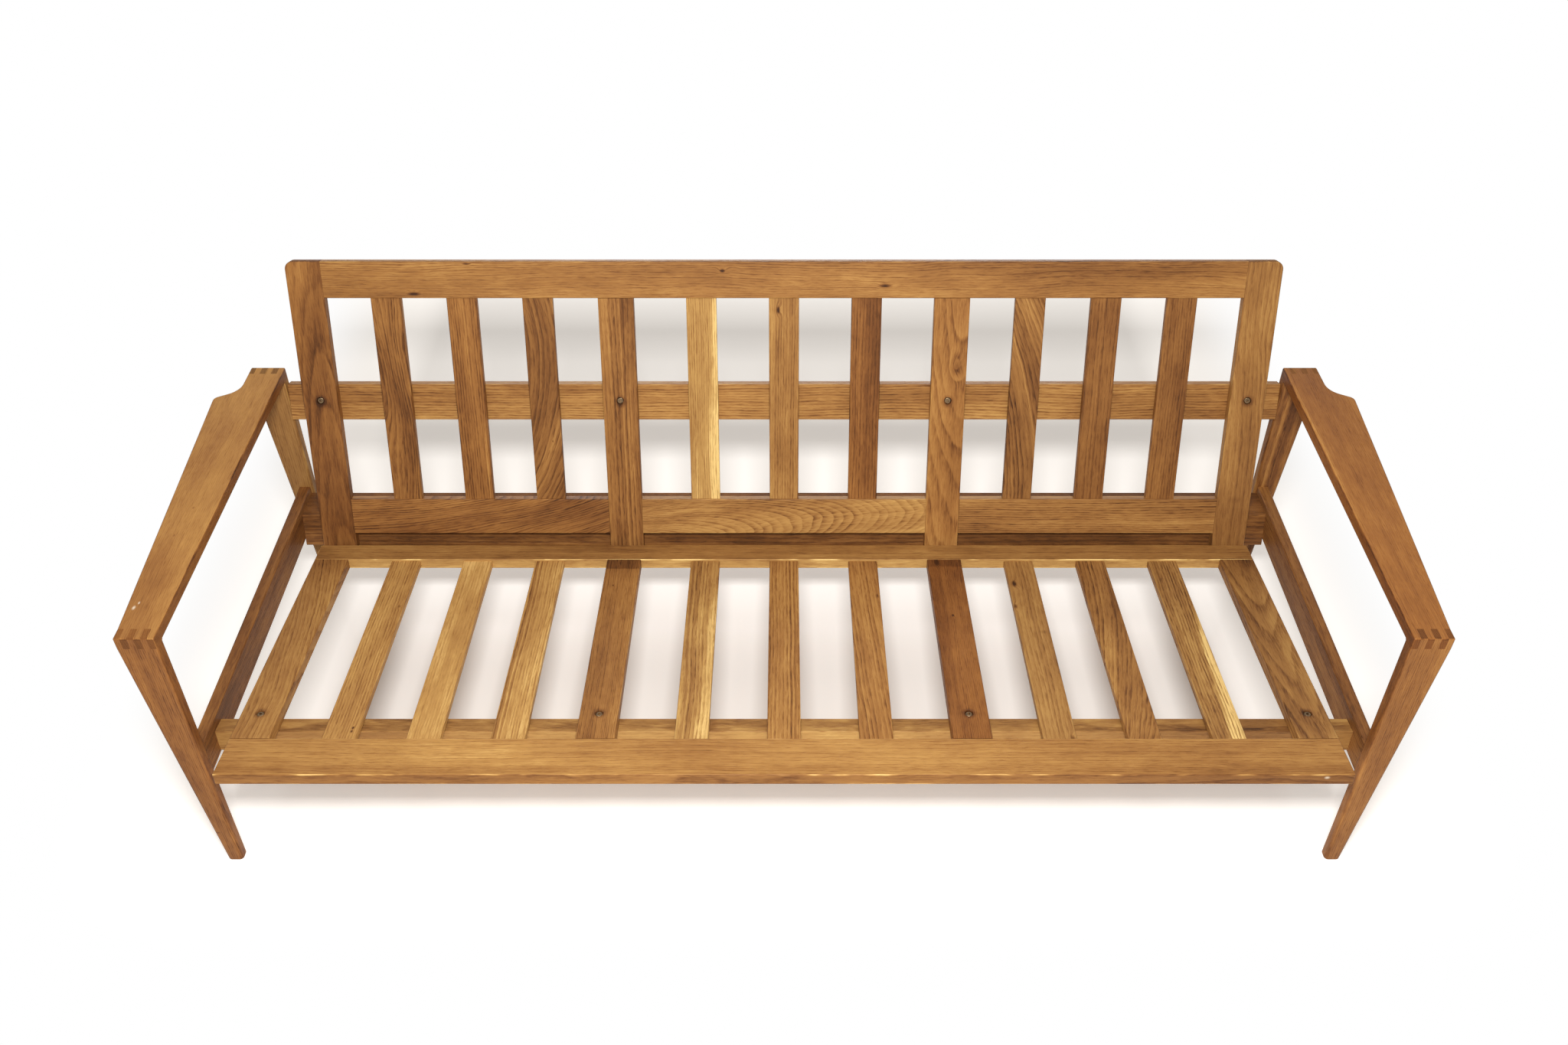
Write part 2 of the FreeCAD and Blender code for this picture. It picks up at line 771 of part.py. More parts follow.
def back_leg():
    mortise = rail_tongue(beam_rear_y, rail_mortise_depth, clearance)
    cutters = [mortise] + link_holes(support_link) + [dowel_hole(spot) for spot in support_dowel_spots]
    leg("back_leg", size["arm_rear_width"], beam_rear_y, arm_rear_y, cutters)


def side_rail():
    low_y = arm_front_y + size["leg_thick"]
    length = beam_rear_y - low_y
    spans = (size["rail_thick"], length, size["rail_height"])
    bar = softened(block((rail_inner, low_y, rail_bottom), spans), along(Y_AXIS, size["edge_radius"]))
    tenons = [rail_tongue(low_y - size["rail_tenon_length"], size["rail_tenon_length"], 0.0),
              rail_tongue(beam_rear_y, size["rail_tenon_length"], 0.0)]
    cutters = link_holes(front_link) + link_holes(rear_link)
    cutters += [dowel_hole(spot) for spot in (front_dowel_spot, rear_dowel_spot)]
    keep_pair("side_rail", without(united([bar] + tenons), cutters))


# Connecting bolts along X, on the right: the face each head seats on, and the face where two pieces meet


def link(seat_x, meet_x, y, z):
    return {"seat": seat_x, "meet": meet_x, "y": float(y), "z": float(z)}


stretcher_middle_y = size["stretcher_setback"] + size["stretcher_depth"] / 2.0
stretcher_middle_z = -size["frame_thick"] - size["stretcher_height"] / 2.0
front_axis = seat_place.multVec(point(0, stretcher_middle_y, stretcher_middle_z))
support_axis = back_place.multVec(point(0, support_depth, support_middle))

rail_outer = rail_inner + size["rail_thick"]
support_seat = arm_inner + size["arm_rear_width"] - size["link_recess"] - size["link_head_height"]
front_link = link(rail_outer, rail_inner, front_axis.y, front_axis.z)
rear_link = link(rail_outer, rail_inner, beam_middle_y, beam_middle_z)
support_link = link(support_seat, arm_inner, support_axis.y, support_axis.z)

front_dowel_spot = point(rail_inner, front_axis.y, front_axis.z + float(size["dowel_spacing"]))
rear_dowel_spot = point(rail_inner, beam_middle_y, beam_middle_z + size["dowel_spacing"])
support_dowel_step = float(size["support_dowel_spacing"])
support_dowel_spots = [point(arm_inner, support_axis.y, support_axis.z + side * support_dowel_step)
                       for side in (1, -1)]
INWARD = FreeCAD.Vector(-1, 0, 0)


def link_bolt(spec):
    seat = point(spec["seat"], spec["y"], spec["z"])
    crown = point(spec["seat"] + size["link_head_height"], spec["y"], spec["z"])
    shank = spec["seat"] - spec["meet"] + size["link_reach"]
    head = domed_head(crown, INWARD, size["link_head_diameter"], size["link_head_height"])
    return united([head, rod(seat, INWARD, size["link_diameter"], shank)])


def link_holes(spec):
    """The bolt's hole in the outer piece, with a recess that runs out through its outer side."""
    hole = size["link_diameter"] + 2.0 * size["hole_clearance"]
    recess = size["link_head_diameter"] + 2.0 * size["hole_clearance"]
    seat = point(spec["seat"], spec["y"], spec["z"])
    outside = point(spec["seat"] + size["arm_shoulder_width"], spec["y"], spec["z"])
    return [rod(seat, INWARD, hole, spec["seat"] - spec["meet"]),
            rod(outside, INWARD, recess, size["arm_shoulder_width"])]


def link_bore(spec):
    """The bolt's blind bore in the inner piece."""
    hole = size["link_diameter"] + 2.0 * size["hole_clearance"]
    mouth = point(spec["meet"], spec["y"], spec["z"])
    return rod(mouth, INWARD, hole, size["link_reach"] + size["tenon_end_gap"])


def nut_spot(spec):
    return point(spec["meet"] - size["nut_distance"], spec["y"], spec["z"])


def barrel_nut(spec, up):
    spot = nut_spot(spec)
    start = spot - up * float(size["nut_length"] / 2.0)
    nut = rod(start, up, size["nut_diameter"], size["nut_length"])
    bore = rod(spot + X_AXIS * float(size["nut_diameter"]), INWARD,
               size["link_diameter"] + 2.0 * size["hole_clearance"], 2.0 * size["nut_diameter"])
    return without(nut, [bore])


def nut_bore(spec, up, depth):
    """The nut's hole, from just past the nut out through the underside."""
    start = nut_spot(spec) + up * float(size["nut_length"] / 2.0 + size["hole_clearance"])
    return rod(start, up * -1.0, size["nut_diameter"] + 2.0 * size["hole_clearance"], depth)


def frame_dowel(spot, diameter, slack):
    length = size["dowel_length"] + 2.0 * slack
    start = point(spot.x + float(length) / 2.0, spot.y, spot.z)
    return rod(start, INWARD, diameter, length)


def dowel_hole(spot):
    slack = size["hole_clearance"]
    return frame_dowel(spot, size["dowel_diameter"] + 2.0 * slack, slack)


SEAT_UP = seat_place.Rotation.multVec(Z_AXIS)
BACK_UP = back_place.Rotation.multVec(Z_AXIS)
links = [(front_link, SEAT_UP), (rear_link, Z_AXIS), (support_link, BACK_UP)]


def both_ends(cutters):
    return cutters + [mirrored(cutter) for cutter in cutters]


def arm_frame_fasteners():
    stretcher_bolts = [link_bolt(front_link), link_bolt(rear_link)]
    keep_group("stretcher_bolts", both_ends(stretcher_bolts))
    keep_group("support_bolts", both_ends([link_bolt(support_link)]))
    keep_group("barrel_nuts", both_ends([barrel_nut(spec, up) for spec, up in links]))
    spots = [front_dowel_spot, rear_dowel_spot] + support_dowel_spots
    dowels = [frame_dowel(spot, size["dowel_diameter"], 0.0) for spot in spots]
    keep_group("frame_dowels", both_ends(dowels))


# Cross members, cut in the world frame


def placed(feature, placement):
    feature.Placement = placement.multiply(feature.Placement)
    return feature


def front_stretcher():
    bar = block((-rail_inner, size["stretcher_setback"], -size["frame_thick"] - size["stretcher_height"]),
                (2.0 * rail_inner, size["stretcher_depth"], size["stretcher_height"]))
    bar = softened(placed(bar, seat_place), along(X_AXIS, size["slat_radius"]))
    ends = [link_bore(front_link), nut_bore(front_link, SEAT_UP, size["stretcher_height"]),
            dowel_hole(front_dowel_spot)]
    bolts = [placed(blind_hole(spot + DOWN * float(size["frame_thick"]), DOWN), seat_place)
             for spot in seat_bolt_spots]
    keep("front_stretcher", without(bar, both_ends(ends) + bolts))


def rear_stretcher():
    """A beam with a level top, its front leaning with the back and its underside sloping with the seat."""
    rear_low = seat_underside(beam_rear_y)
    foot_step = size["stile_foot_gap"] * lean_tangent / (1.0 + slope_tangent * lean_tangent)
    front_low_y = stile_back_y - foot_step
    front_low = seat_underside(front_low_y)
    corners = [(0.0, front_low - rear_low), (beam_front_y - front_low_y, beam_top - rear_low),
               (beam_rear_y - front_low_y, beam_top - rear_low), (beam_rear_y - front_low_y, 0.0)]
    beam = outline_body("RearBeam", "YZ_Plane", corners, 2.0 * rail_inner, middle=True)
    beam.Placement.Base = point(0, front_low_y, rear_low)
    bar = softened(beam, along(X_AXIS, size["slat_radius"]))
    ends = [link_bore(rear_link), nut_bore(rear_link, Z_AXIS, beam_top), dowel_hole(rear_dowel_spot)]
    feet = [placed(foot_dowel_hole(middle), back_place) for middle in wide_middles]
    screws = [placed(screw_hole(spot), seat_place) for spot in beam_screw_spots]
    keep("rear_stretcher", without(bar, both_ends(ends) + feet + screws))


def support_rail():
    bar = block((-arm_inner, size["back_thick"], support_low),
                (2.0 * arm_inner, size["support_thick"], size["support_height"]))
    bar = softened(placed(bar, back_place), along(X_AXIS, size["slat_radius"]))
    ends = [link_bore(support_link), nut_bore(support_link, BACK_UP, size["support_height"])]
    ends += [dowel_hole(spot) for spot in support_dowel_spots]
    bolts = [placed(blind_hole(spot + Y_AXIS * float(size["back_thick"]), Y_AXIS), back_place)
             for spot in back_bolt_spots]
    keep("support_rail", without(bar, both_ends(ends) + bolts))


# Ledger under the rear stretcher, in the seat's frame, with its screws from below

ledger_front = seat_depth - size["ledger_overlap"]
beam_front_local = seat_place.inverse().multVec(point(0, stile_back_y, stile_back_z)).y
ledger_rear = size["ledger_reach"] + beam_front_local
ledger_half = frame_half - size["ledger_end_gap"]
screw_pitch = 2.0 * ledger_half / LEDGER_SCREWS
screw_columns = [screw_pitch * (number + 0.5) - ledger_half for number in range(LEDGER_SCREWS)]
ledger_underside = -size["frame_thick"] - size["ledger_thick"]
rail_screw_spots = [point(x, ledger_front + size["screw_inset"], ledger_underside) for x in screw_columns]
beam_screw_spots = [point(x, ledger_rear - size["screw_inset"], ledger_underside) for x in screw_columns]


def screw(spot):
    neck = spot + Z_AXIS * float(size["screw_head_height"])
    shank = size["ledger_thick"] - size["screw_head_height"] + size["screw_bite"]
    return united([rod(spot, Z_AXIS, size["screw_head_diameter"], size["screw_head_height"]),
                   rod(neck, Z_AXIS, size["screw_diameter"], shank)])


def screw_hole(spot):
    hole = size["screw_diameter"] + 2.0 * size["hole_clearance"]
    return rod(spot, Z_AXIS, hole, size["ledger_thick"] + size["screw_bite"] + size["hole_clearance"])


def screw_recess(spot):
    recess = size["screw_head_diameter"] + 2.0 * size["hole_clearance"]
    return rod(spot, Z_AXIS, recess, size["screw_head_height"])


def seat_ledger():
    board = softened(block((-ledger_half, ledger_front, ledger_underside),
                           (2.0 * ledger_half, ledger_rear - ledger_front, size["ledger_thick"])),
                     along(X_AXIS, size["slat_radius"]))
    spots = rail_screw_spots + beam_screw_spots
    cutters = [screw_hole(spot) for spot in spots] + [screw_recess(spot) for spot in spots]
    keep("seat_ledger", without(board, cutters), seat_place)
    keep_group("ledger_screws", [screw(spot) for spot in spots], seat_place)


def build():
    armrest()
    front_leg()
    back_leg()
    side_rail()
    arm_frame_fasteners()
    front_stretcher()
    rear_stretcher()
    support_rail()
    seat_ledger()
    seat_front_board()
    seat_rear_rail()
    seat_slats()
    seat_bolts()
    for side, name in SIDE_NAMES.items():
        back_stile(f"back_stile_{name}", side)
        back_middle_stile(f"back_middle_stile_{name}", side)
    back_rails()
    back_slats()
    back_bolts()
    foot_dowels()


def check():
    doc.recompute()
    for feature in doc.Objects:
        if "Invalid" in feature.State or "Error" in feature.State:
            raise RuntimeError(f"{feature.Label} failed: {feature.State}")
    for node in nodes:
        if node.Shape.isNull() or not node.Shape.isValid():
            raise RuntimeError(f"{node.Label} has no valid shape")


def write():
    os.makedirs("parts", exist_ok=True)
    for node in nodes:
        node.Shape.exportStep(f"parts/{node.Label}.step")


build()
check()
write()
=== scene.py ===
# Looks of a slatted oak three-seat sofa frame: oiled oak boards, steel bolts and a pale studio.
# Metres, with X to the right as seen from the front, Y to the back and Z up.
import math
from dataclasses import dataclass
from typing import NamedTuple

import bpy
from bpy.props import FloatProperty, FloatVectorProperty, PointerProperty
from mathutils import Matrix, Vector


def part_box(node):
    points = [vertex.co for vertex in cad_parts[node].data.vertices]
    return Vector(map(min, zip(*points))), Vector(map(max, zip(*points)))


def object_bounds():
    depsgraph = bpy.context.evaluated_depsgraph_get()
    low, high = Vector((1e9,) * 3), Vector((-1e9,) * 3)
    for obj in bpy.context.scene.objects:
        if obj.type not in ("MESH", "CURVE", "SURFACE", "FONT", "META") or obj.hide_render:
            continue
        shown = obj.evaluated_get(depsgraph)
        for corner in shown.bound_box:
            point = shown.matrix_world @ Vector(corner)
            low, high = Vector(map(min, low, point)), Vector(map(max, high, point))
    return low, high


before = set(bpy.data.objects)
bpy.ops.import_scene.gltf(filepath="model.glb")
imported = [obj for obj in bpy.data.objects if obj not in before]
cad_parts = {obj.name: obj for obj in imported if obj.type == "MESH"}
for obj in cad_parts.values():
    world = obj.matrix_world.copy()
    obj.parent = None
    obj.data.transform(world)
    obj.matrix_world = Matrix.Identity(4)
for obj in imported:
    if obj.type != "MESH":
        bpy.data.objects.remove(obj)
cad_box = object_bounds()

bl_info = {
    "name": "Slatted Oak Sofa",
    "version": (1, 0, 0),
    "blender": (4, 5, 0),
    "location": "View3D > Sidebar > Sofa",
    "description": "Finishes the boards and fasteners of a slatted oak sofa frame and sets its studio",
    "category": "Object",
}

PHOTO_WIDTH = 2048
SENSOR_WIDTH = 36.0
WHITE = (1.0, 1.0, 1.0)
BLACK = (0.0, 0.0, 0.0)

# Noises that follow the grain, in cycles a metre along it and across it
SLOW_SWAY = (2.6, 11.0)
QUICK_SWAY = (13.0, 60.0)
CLOUDS = (3.0, 17.0)
MOTTLES = (22.0, 60.0)
STREAKS = (1.6, 95.0)
FIBRES = (22.0, 430.0)
BREAKS = (38.0, 300.0)
DASHES = (48.0, 430.0)
PORES = (75.0, 1500.0)
RUBS = (16.0, 60.0)
NOISE_MEAN = 0.5
SEED_STEP = 3.71

# Growth rings: how far they sway for a board's wildness, and how they bulge for a knot's size
SLOW_SHARE = 2.4
QUICK_SHARE = 0.35
DEPTH_SHARE = 0.7
BULGE_REACH = 6.0
BULGE_WIDTH = 3.0
BULGE_HEIGHT = 1.6
UNEVEN_RINGS = 0.8
UNEVEN_CYCLES = 0.37
FAINTEST_RING = 0.25
RING_RISE = 0.16
RING_FADE = 1.5
BROKEN_LEAST = 0.35
BROKEN_MORE = 0.95
RING_PULL = 0.16
STRIPE_CORE = 0.25

# How much each part of the grain changes the shade, by itself and for the board's contrast
CLOUD_SHADE = 0.42
CLOUD_CONTRAST = 0.40
MOTTLE_SHADE = 0.24
FIBRE_SHADE = 0.20
LINE_MEAN = 0.16
LINE_CONTRAST = 0.72
DASH_SHADE = 0.05
DASH_CONTRAST = 0.13
PORE_SHADE = 0.09
DARKEST_GRAIN = 0.14
END_EVENNESS = 0.7
END_LINES = 0.12
KNOT_HALO = 1.6
SAPWOOD_RAGGED = 0.014
SAPWOOD_EDGE = (-0.004, 0.007)

# Roughness that the oil's wear adds, and heights of the grain as shares of the pores' depth
PORE_ROUGH = 0.16
CLOUD_ROUGH = 0.18
RUBBED_SMOOTH = 0.12
END_ROUGH = 0.2
PORE_DROP = 0.7
LINE_DROP = 0.35
FIBRE_DROP = 0.3

# Marks: the bolts' places along their boards from the middle, the dirt and painted shade round them, and a
# patch's width
SEAT_BOLT = -0.176
END_STILE_BOLT = 0.017
MIDDLE_STILE_BOLT = 0.0416
BOLT_DIRT_AND_SHADE_RADIUS = 0.015
BOLT_DIRT_AND_SHADE = -0.42
PATCH_WIDTH = 0.1

# Finishes of the fasteners: their noises in cycles a metre, and how rough and dark they are
TARNISH_CYCLES = 240.0
SCRATCH_CYCLES = (900.0, 2600.0, 900.0)
DOWEL_CYCLES = (60.0, 900.0, 900.0)
DOWEL_DARK = 0.6
TARNISH_SHARE = 0.7
STEEL_ROUGH = 0.28
TARNISH_ROUGH = 0.25
SCRATCH_ROUGH = 0.12
DOWEL_ROUGH = 0.5
DOWEL_FIBRE_ROUGH = 0.2

# Floor: where its glow starts and ends, in metres from the middle, and the way to the overhead lamps
GLOW_BEHIND = (0.05, 0.36)
GLOW_FAR = (0.72, 0.82)
GLOW_FRONT = (-0.08, -0.22)
GLOW_SIDES = (0.75, 0.95)
GLOW_NEAR_SHARE = 0.90
GLOW_FAR_LOSS = 0.32
SHADOW_INSET = 0.137
SPECK_CYCLES = 3.0
SPECK_SHADE = 0.975
OVERHEAD_WAY = (0.24, -0.30, 1.0)

# Numbers at which each group's boards start to be told apart in their grain
ARM_SEED = 1
CROSS_SEED = 11
SEAT_FRAME_SEED = 21
SEAT_SLAT_SEED = 31
BACK_FRAME_SEED = 51
BACK_SLAT_SEED = 71


# Properties that a user would change


class SofaOak(bpy.types.PropertyGroup):
    """Colours and grain of the oiled oak."""

    knot: FloatVectorProperty(
        name="Knot", description="Heart of a knot, and the deepest pores",
        subtype="COLOR", min=0.0, max=1.0, default=(0.050, 0.018, 0.006))
    deep: FloatVectorProperty(
        name="Dark grain", description="Dark lines of the growth rings, and boards that lay in shade",
        subtype="COLOR", min=0.0, max=1.0, default=(0.195, 0.074, 0.020))
    heart: FloatVectorProperty(
        name="Heartwood", description="Golden brown heartwood under old oil",
        subtype="COLOR", min=0.0, max=1.0, default=(0.360, 0.160, 0.043))
    light: FloatVectorProperty(
        name="Light heartwood", description="Heartwood that the sun has bleached",
        subtype="COLOR", min=0.0, max=1.0, default=(0.550, 0.288, 0.083))
    sapwood: FloatVectorProperty(
        name="Sapwood", description="Pale wood along the edge of a board, and bare worn edges",
        subtype="COLOR", min=0.0, max=1.0, default=(0.900, 0.570, 0.200))
    bare: FloatVectorProperty(
        name="Bare wood", description="Fresh wood in a chip of the finish",
        subtype="COLOR", min=0.0, max=1.0, default=(0.85, 0.70, 0.52))
    red_tint: FloatVectorProperty(
        name="Red tint", description="What a board that has turned red-brown keeps of each colour",
        subtype="COLOR", min=0.0, max=1.0, default=(1.0, 0.80, 0.64))
    gloss: FloatProperty(
        name="Roughness", description="Roughness of the oiled surface",
        subtype="FACTOR", min=0.0, max=1.0, default=0.47)
    pore_depth: FloatProperty(
        name="Pore depth", description="Depth of the open pores",
        unit="LENGTH", min=0.0, max=0.002, precision=5, default=0.00035)
    seat_angle: FloatProperty(
        name="Seat angle", description="Fall of the seat frame towards the back",
        subtype="ANGLE", default=math.radians(6.2))
    back_angle: FloatProperty(
        name="Back angle", description="Lean of the back frame",
        subtype="ANGLE", default=math.radians(17.7))


class SofaMetal(bpy.types.PropertyGroup):
    """Colours of the bolts, nuts and dowels."""

    steel: FloatVectorProperty(
        name="Steel", description="Darkened steel of the bolts and nuts",
        subtype="COLOR", min=0.0, max=1.0, default=(0.25, 0.17, 0.095))
    tarnish: FloatVectorProperty(
        name="Tarnish", description="Dull brown film on the steel",
        subtype="COLOR", min=0.0, max=1.0, default=(0.07, 0.045, 0.028))
    dowel: FloatVectorProperty(
        name="Dowel", description="Pale turned dowels",
        subtype="COLOR", min=0.0, max=1.0, default=(0.62, 0.44, 0.26))


class SofaStudio(bpy.types.PropertyGroup):
    """Floor, light and camera."""

    floor: FloatVectorProperty(
        name="Floor", description="Pale floor",
        subtype="COLOR", min=0.0, max=1.0, default=(0.94, 0.91, 0.87))
    floor_span: FloatProperty(
        name="Floor span", description="Length of the floor's side",
        unit="LENGTH", default=24.0)
    overhead: FloatProperty(
        name="Overhead light", description="Strength of each of the two lamps overhead",
        min=0.0, default=0.12)
    softness: FloatProperty(
        name="Softness", description="Angle that an overhead lamp spans as seen from the object",
        subtype="ANGLE", default=math.radians(11.0))
    front: FloatProperty(
        name="Front light", description="Power of the lamp above the camera",
        unit="POWER", min=0.0, default=58.0)
    front_length: FloatProperty(
        name="Front lamp length", description="Length of the lamp above the camera, from left to right",
        unit="LENGTH", default=0.50)
    front_width: FloatProperty(
        name="Front lamp width", description="Width of the lit strip of the lamp above the camera",
        unit="LENGTH", default=0.20)
    front_height: FloatProperty(
        name="Front lamp height", description="Height of the lamp above the camera over the floor",
        unit="LENGTH", default=2.17)
    front_distance: FloatProperty(
        name="Front lamp distance", description="Distance of that lamp in front of the middle",
        unit="LENGTH", default=1.59)
    rear: FloatProperty(
        name="Rear light", description="Power of the low lamp far behind",
        unit="POWER", min=0.0, default=40.0)
    rear_length: FloatProperty(
        name="Rear lamp length", description="Length of the lamp behind, from left to right",
        unit="LENGTH", default=3.0)
    rear_width: FloatProperty(
        name="Rear lamp width", description="Width of the lamp behind, from bottom to top",
        unit="LENGTH", default=1.0)
    rear_height: FloatProperty(
        name="Rear lamp height", description="Height of the lamp behind over the floor",
        unit="LENGTH", default=1.0)
    rear_distance: FloatProperty(
        name="Rear lamp distance", description="Distance of that lamp behind the middle",
        unit="LENGTH", default=4.5)
    fill: FloatProperty(
        name="Fill light", description="Strength of the light from all around",
        min=0.0, default=0.27)
    fill_colour: FloatVectorProperty(
        name="Fill colour", description="Colour of the light from all around",
        subtype="COLOR", min=0.0, max=1.0, default=(1.0, 0.93, 0.85))
    floor_glow: FloatProperty(
        name="Floor glow", description="White that the camera sees in the floor round the front of the seat",
        min=0.0, max=1.0, default=0.40)
    shadow_depth: FloatProperty(
        name="Shadow depth", description="Distance behind the object that its shadow reaches",
        unit="LENGTH", default=0.97)
    shadow_fade: FloatProperty(
        name="Shadow fade", description="Distance over which the floor turns plain white round the shadow",
        unit="LENGTH", default=0.25)
    camera_focal: FloatProperty(
        name="Focal length", description="Focal length in pixels of the photograph's width",
        default=1795.0)
    camera_pitch: FloatProperty(
        name="Camera pitch", description="Angle of the camera below level",
        subtype="ANGLE", default=math.radians(40.73))
    camera_height: FloatProperty(
        name="Camera height", description="Height of the camera above the floor",
        unit="LENGTH", default=1.890)
    camera_distance: FloatProperty(
        name="Camera distance", description="Distance of the camera in front of the middle",
        unit="LENGTH", default=1.687)


# Shader graphs written as expressions


class Wire:
    """A shader socket that takes part in Python expressions."""

    def __init__(self, graph, socket):
        self.graph = graph
        self.socket = socket

    def __add__(self, other):
        return self.graph.calculate("ADD", self, other)

    def __radd__(self, other):
        return self.graph.calculate("ADD", other, self)

    def __sub__(self, other):
        return self.graph.calculate("SUBTRACT", self, other)

    def __rsub__(self, other):
        return self.graph.calculate("SUBTRACT", other, self)

    def __mul__(self, other):
        return self.graph.calculate("MULTIPLY", self, other)

    def __rmul__(self, other):
        return self.graph.calculate("MULTIPLY", other, self)

    def __truediv__(self, other):
        return self.graph.calculate("DIVIDE", self, other)

    def __rtruediv__(self, other):
        return self.graph.calculate("DIVIDE", other, self)

    def __pow__(self, other):
        return self.graph.calculate("POWER", self, other)

    def __abs__(self):
        return self.graph.calculate("ABSOLUTE", self)

    def is_number(self):
        return self.socket.type == "VALUE"


def find_socket(sockets, key):
    if isinstance(key, int):
        return sockets[key]
    return next(item for item in sockets if key in (item.identifier, item.name))


def set_stops(ramp, stops):
    while len(ramp.elements) < len(stops):
        ramp.elements.new(1.0)
    for element, (place, colour) in zip(ramp.elements, stops):
        element.position = place
        element.color = (*colour, 1.0)


class Graph:
    """One material's or world's nodes."""

    def __init__(self, owner):
        owner.use_nodes = True
        self.tree = owner.node_tree
        self.tree.nodes.clear()

    def add(self, kind, settings, sockets, output=0):
        """Adds a node, sets its settings first and then its sockets, and gives one of its outputs."""
        node = self.tree.nodes.new(kind)
        for name, value in settings.items():
            if name == "stops":
                set_stops(node.color_ramp, value)
            else:
                setattr(node, name, value)
        for key, value in sockets.items():
            socket = find_socket(node.inputs, key)
            if isinstance(value, Wire):
                self.tree.links.new(value.socket, socket)
            elif socket.type == "RGBA":
                socket.default_value = (*value[:3], 1.0)
            else:
                socket.default_value = value
        return Wire(self, find_socket(node.outputs, output)) if node.outputs else None

    def calculate(self, operation, *operands):
        """Adds the Math or Vector Math node for one step of an expression."""
        wires = [item for item in operands if isinstance(item, Wire)]
        if all(wire.is_number() for wire in wires):
            return self.add("ShaderNodeMath", {"operation": operation}, dict(enumerate(operands)))
        spread = [(item,) * 3 if isinstance(item, (int, float)) else item for item in operands]
        return self.add("ShaderNodeVectorMath", {"operation": operation}, dict(enumerate(spread)))

    def dot(self, arrow, axis):
        return self.add("ShaderNodeVectorMath", {"operation": "DOT_PRODUCT"}, {0: arrow, 1: tuple(axis)},
                        "Value")

    def combine(self, x, y, z):
        return self.add("ShaderNodeCombineXYZ", {}, {"X": x, "Y": y, "Z": z})

    def mix(self, factor, first, second):
        sockets = {"Factor_Float": factor, "A_Color": first, "B_Color": second}
        return self.add("ShaderNodeMix", {"data_type": "RGBA"}, sockets, "Result_Color")

    def ramp(self, value, low, high):
        """A smooth rise from 0 at low to 1 at high, or a fall where low is the greater."""
        sockets = {"Value": value, "From Min": low, "From Max": high}
        return self.add("ShaderNodeMapRange", {"interpolation_type": "SMOOTHSTEP"}, sockets)

    def noise(self, spot, scale=1.0, detail=2.0):
        return self.add("ShaderNodeTexNoise", {}, {"Vector": spot, "Scale": scale, "Detail": detail})

    def greater(self, first, second):
        return self.calculate("MAXIMUM", first, second)

    def lesser(self, first, second):
        return self.calculate("MINIMUM", first, second)


def blend(first, second, share):
    return tuple(a + (b - a) * share for a, b in zip(first, second))


# Boards and their own directions: along the grain, across the board and through its thickness


def directions(lie, oak):
    seat_cos, seat_sin = math.cos(oak.seat_angle), math.sin(oak.seat_angle)
    back_cos, back_sin = math.cos(oak.back_angle), math.sin(oak.back_angle)
    seat_back, seat_up = Vector((0, seat_cos, -seat_sin)), Vector((0, seat_sin, seat_cos))
    back_back, back_up = Vector((0, back_cos, -back_sin)), Vector((0, back_sin, back_cos))
    right, rear, up = Vector((1, 0, 0)), Vector((0, 1, 0)), Vector((0, 0, 1))
    return {
        "seat_length": (seat_back, right, seat_up),
        "seat_cross": (right, seat_back, seat_up),
        "back_length": (back_up, right, back_back),
        "back_cross": (right, back_up, back_back),
        "arm": (rear, right, up),
        "leg": (up, right, rear),
        "side": (rear, up, right),
        "beam": (right, up, rear),
    }[lie]


class Sapwood(NamedTuple):
    """Pale wood beyond an edge on one side of a board, -1 or 1, with the edge's slope along it."""

    side: int
    edge: float
    slope: float
    shade: float


class Stripe(NamedTuple):
    """A lighter or darker line that follows the grain."""

    across: float
    width: float
    change: float


class Knot(NamedTuple):
    """A knot, which the rings bulge round."""

    along: float
    across: float
    reach: float
    size: float
    darkness: float


class Band(NamedTuple):
    """A lighter or darker stretch between two places along or across a board."""

    way: str
    start: float
    stop: float
    soft: float
    change: float


class Stain(NamedTuple):
    """A soft lighter or darker oval."""

    along: float
    across: float
    reach: float
    width: float
    change: float


class Chip(NamedTuple):
    """A spot of bare wood, with its place through the board where that matters."""

    along: float
    across: float
    reach: float
    width: float
    through: float = None


def bolt_dirt_and_shade(along):
    """Dark oil and dirt round a bolt head in the middle of a board's width, and painted shade of its
    counterbore.
    """
    return Stain(along, 0.0, BOLT_DIRT_AND_SHADE_RADIUS, BOLT_DIRT_AND_SHADE_RADIUS, BOLT_DIRT_AND_SHADE)


def patch(along, reach, change):
    """A soft lighter or darker stretch over a board's whole width."""
    return Stain(along, 0.0, reach, PATCH_WIDTH, change)


@dataclass
class Board:
    """One board: its tone, how red it has turned, how it was sawn from the log, and its marks.

    Places are in metres from the board's middle, and shades run from 0 in a knot to 1 in sapwood.
    The pith is the log's middle, across and through the board, and the slant is how far the grain
    runs off across and through for each metre along.
    """

    node: str
    lie: str
    tone: float = 0.5
    aged: float = 0.1
    contrast: float = 0.35
    streaks: float = 0.7
    ring: float = 0.0045
    wild: float = 0.006
    pith: tuple = (0.16, 0.03)
    slant: tuple = (0.0, 0.0)
    bow: float = 0.0
    wear: float = 0.16
    # Darkens the arrises: partly dirt, partly painted shade of their dark outlines
    arris_dirt_and_shade: float = 0.10
    # How much darker the top face is
    top_darkening: float = 0.0
    end_shade: float = -0.12
    # Darkens the side faces: painted shade of sides turned away from the lamp
    painted_shade_of_sides: float = 0.0
    sapwood: Sapwood = None
    stripes: tuple = ()
    knots: tuple = ()
    bands: tuple = ()
    stains: tuple = ()
    chips: tuple = ()


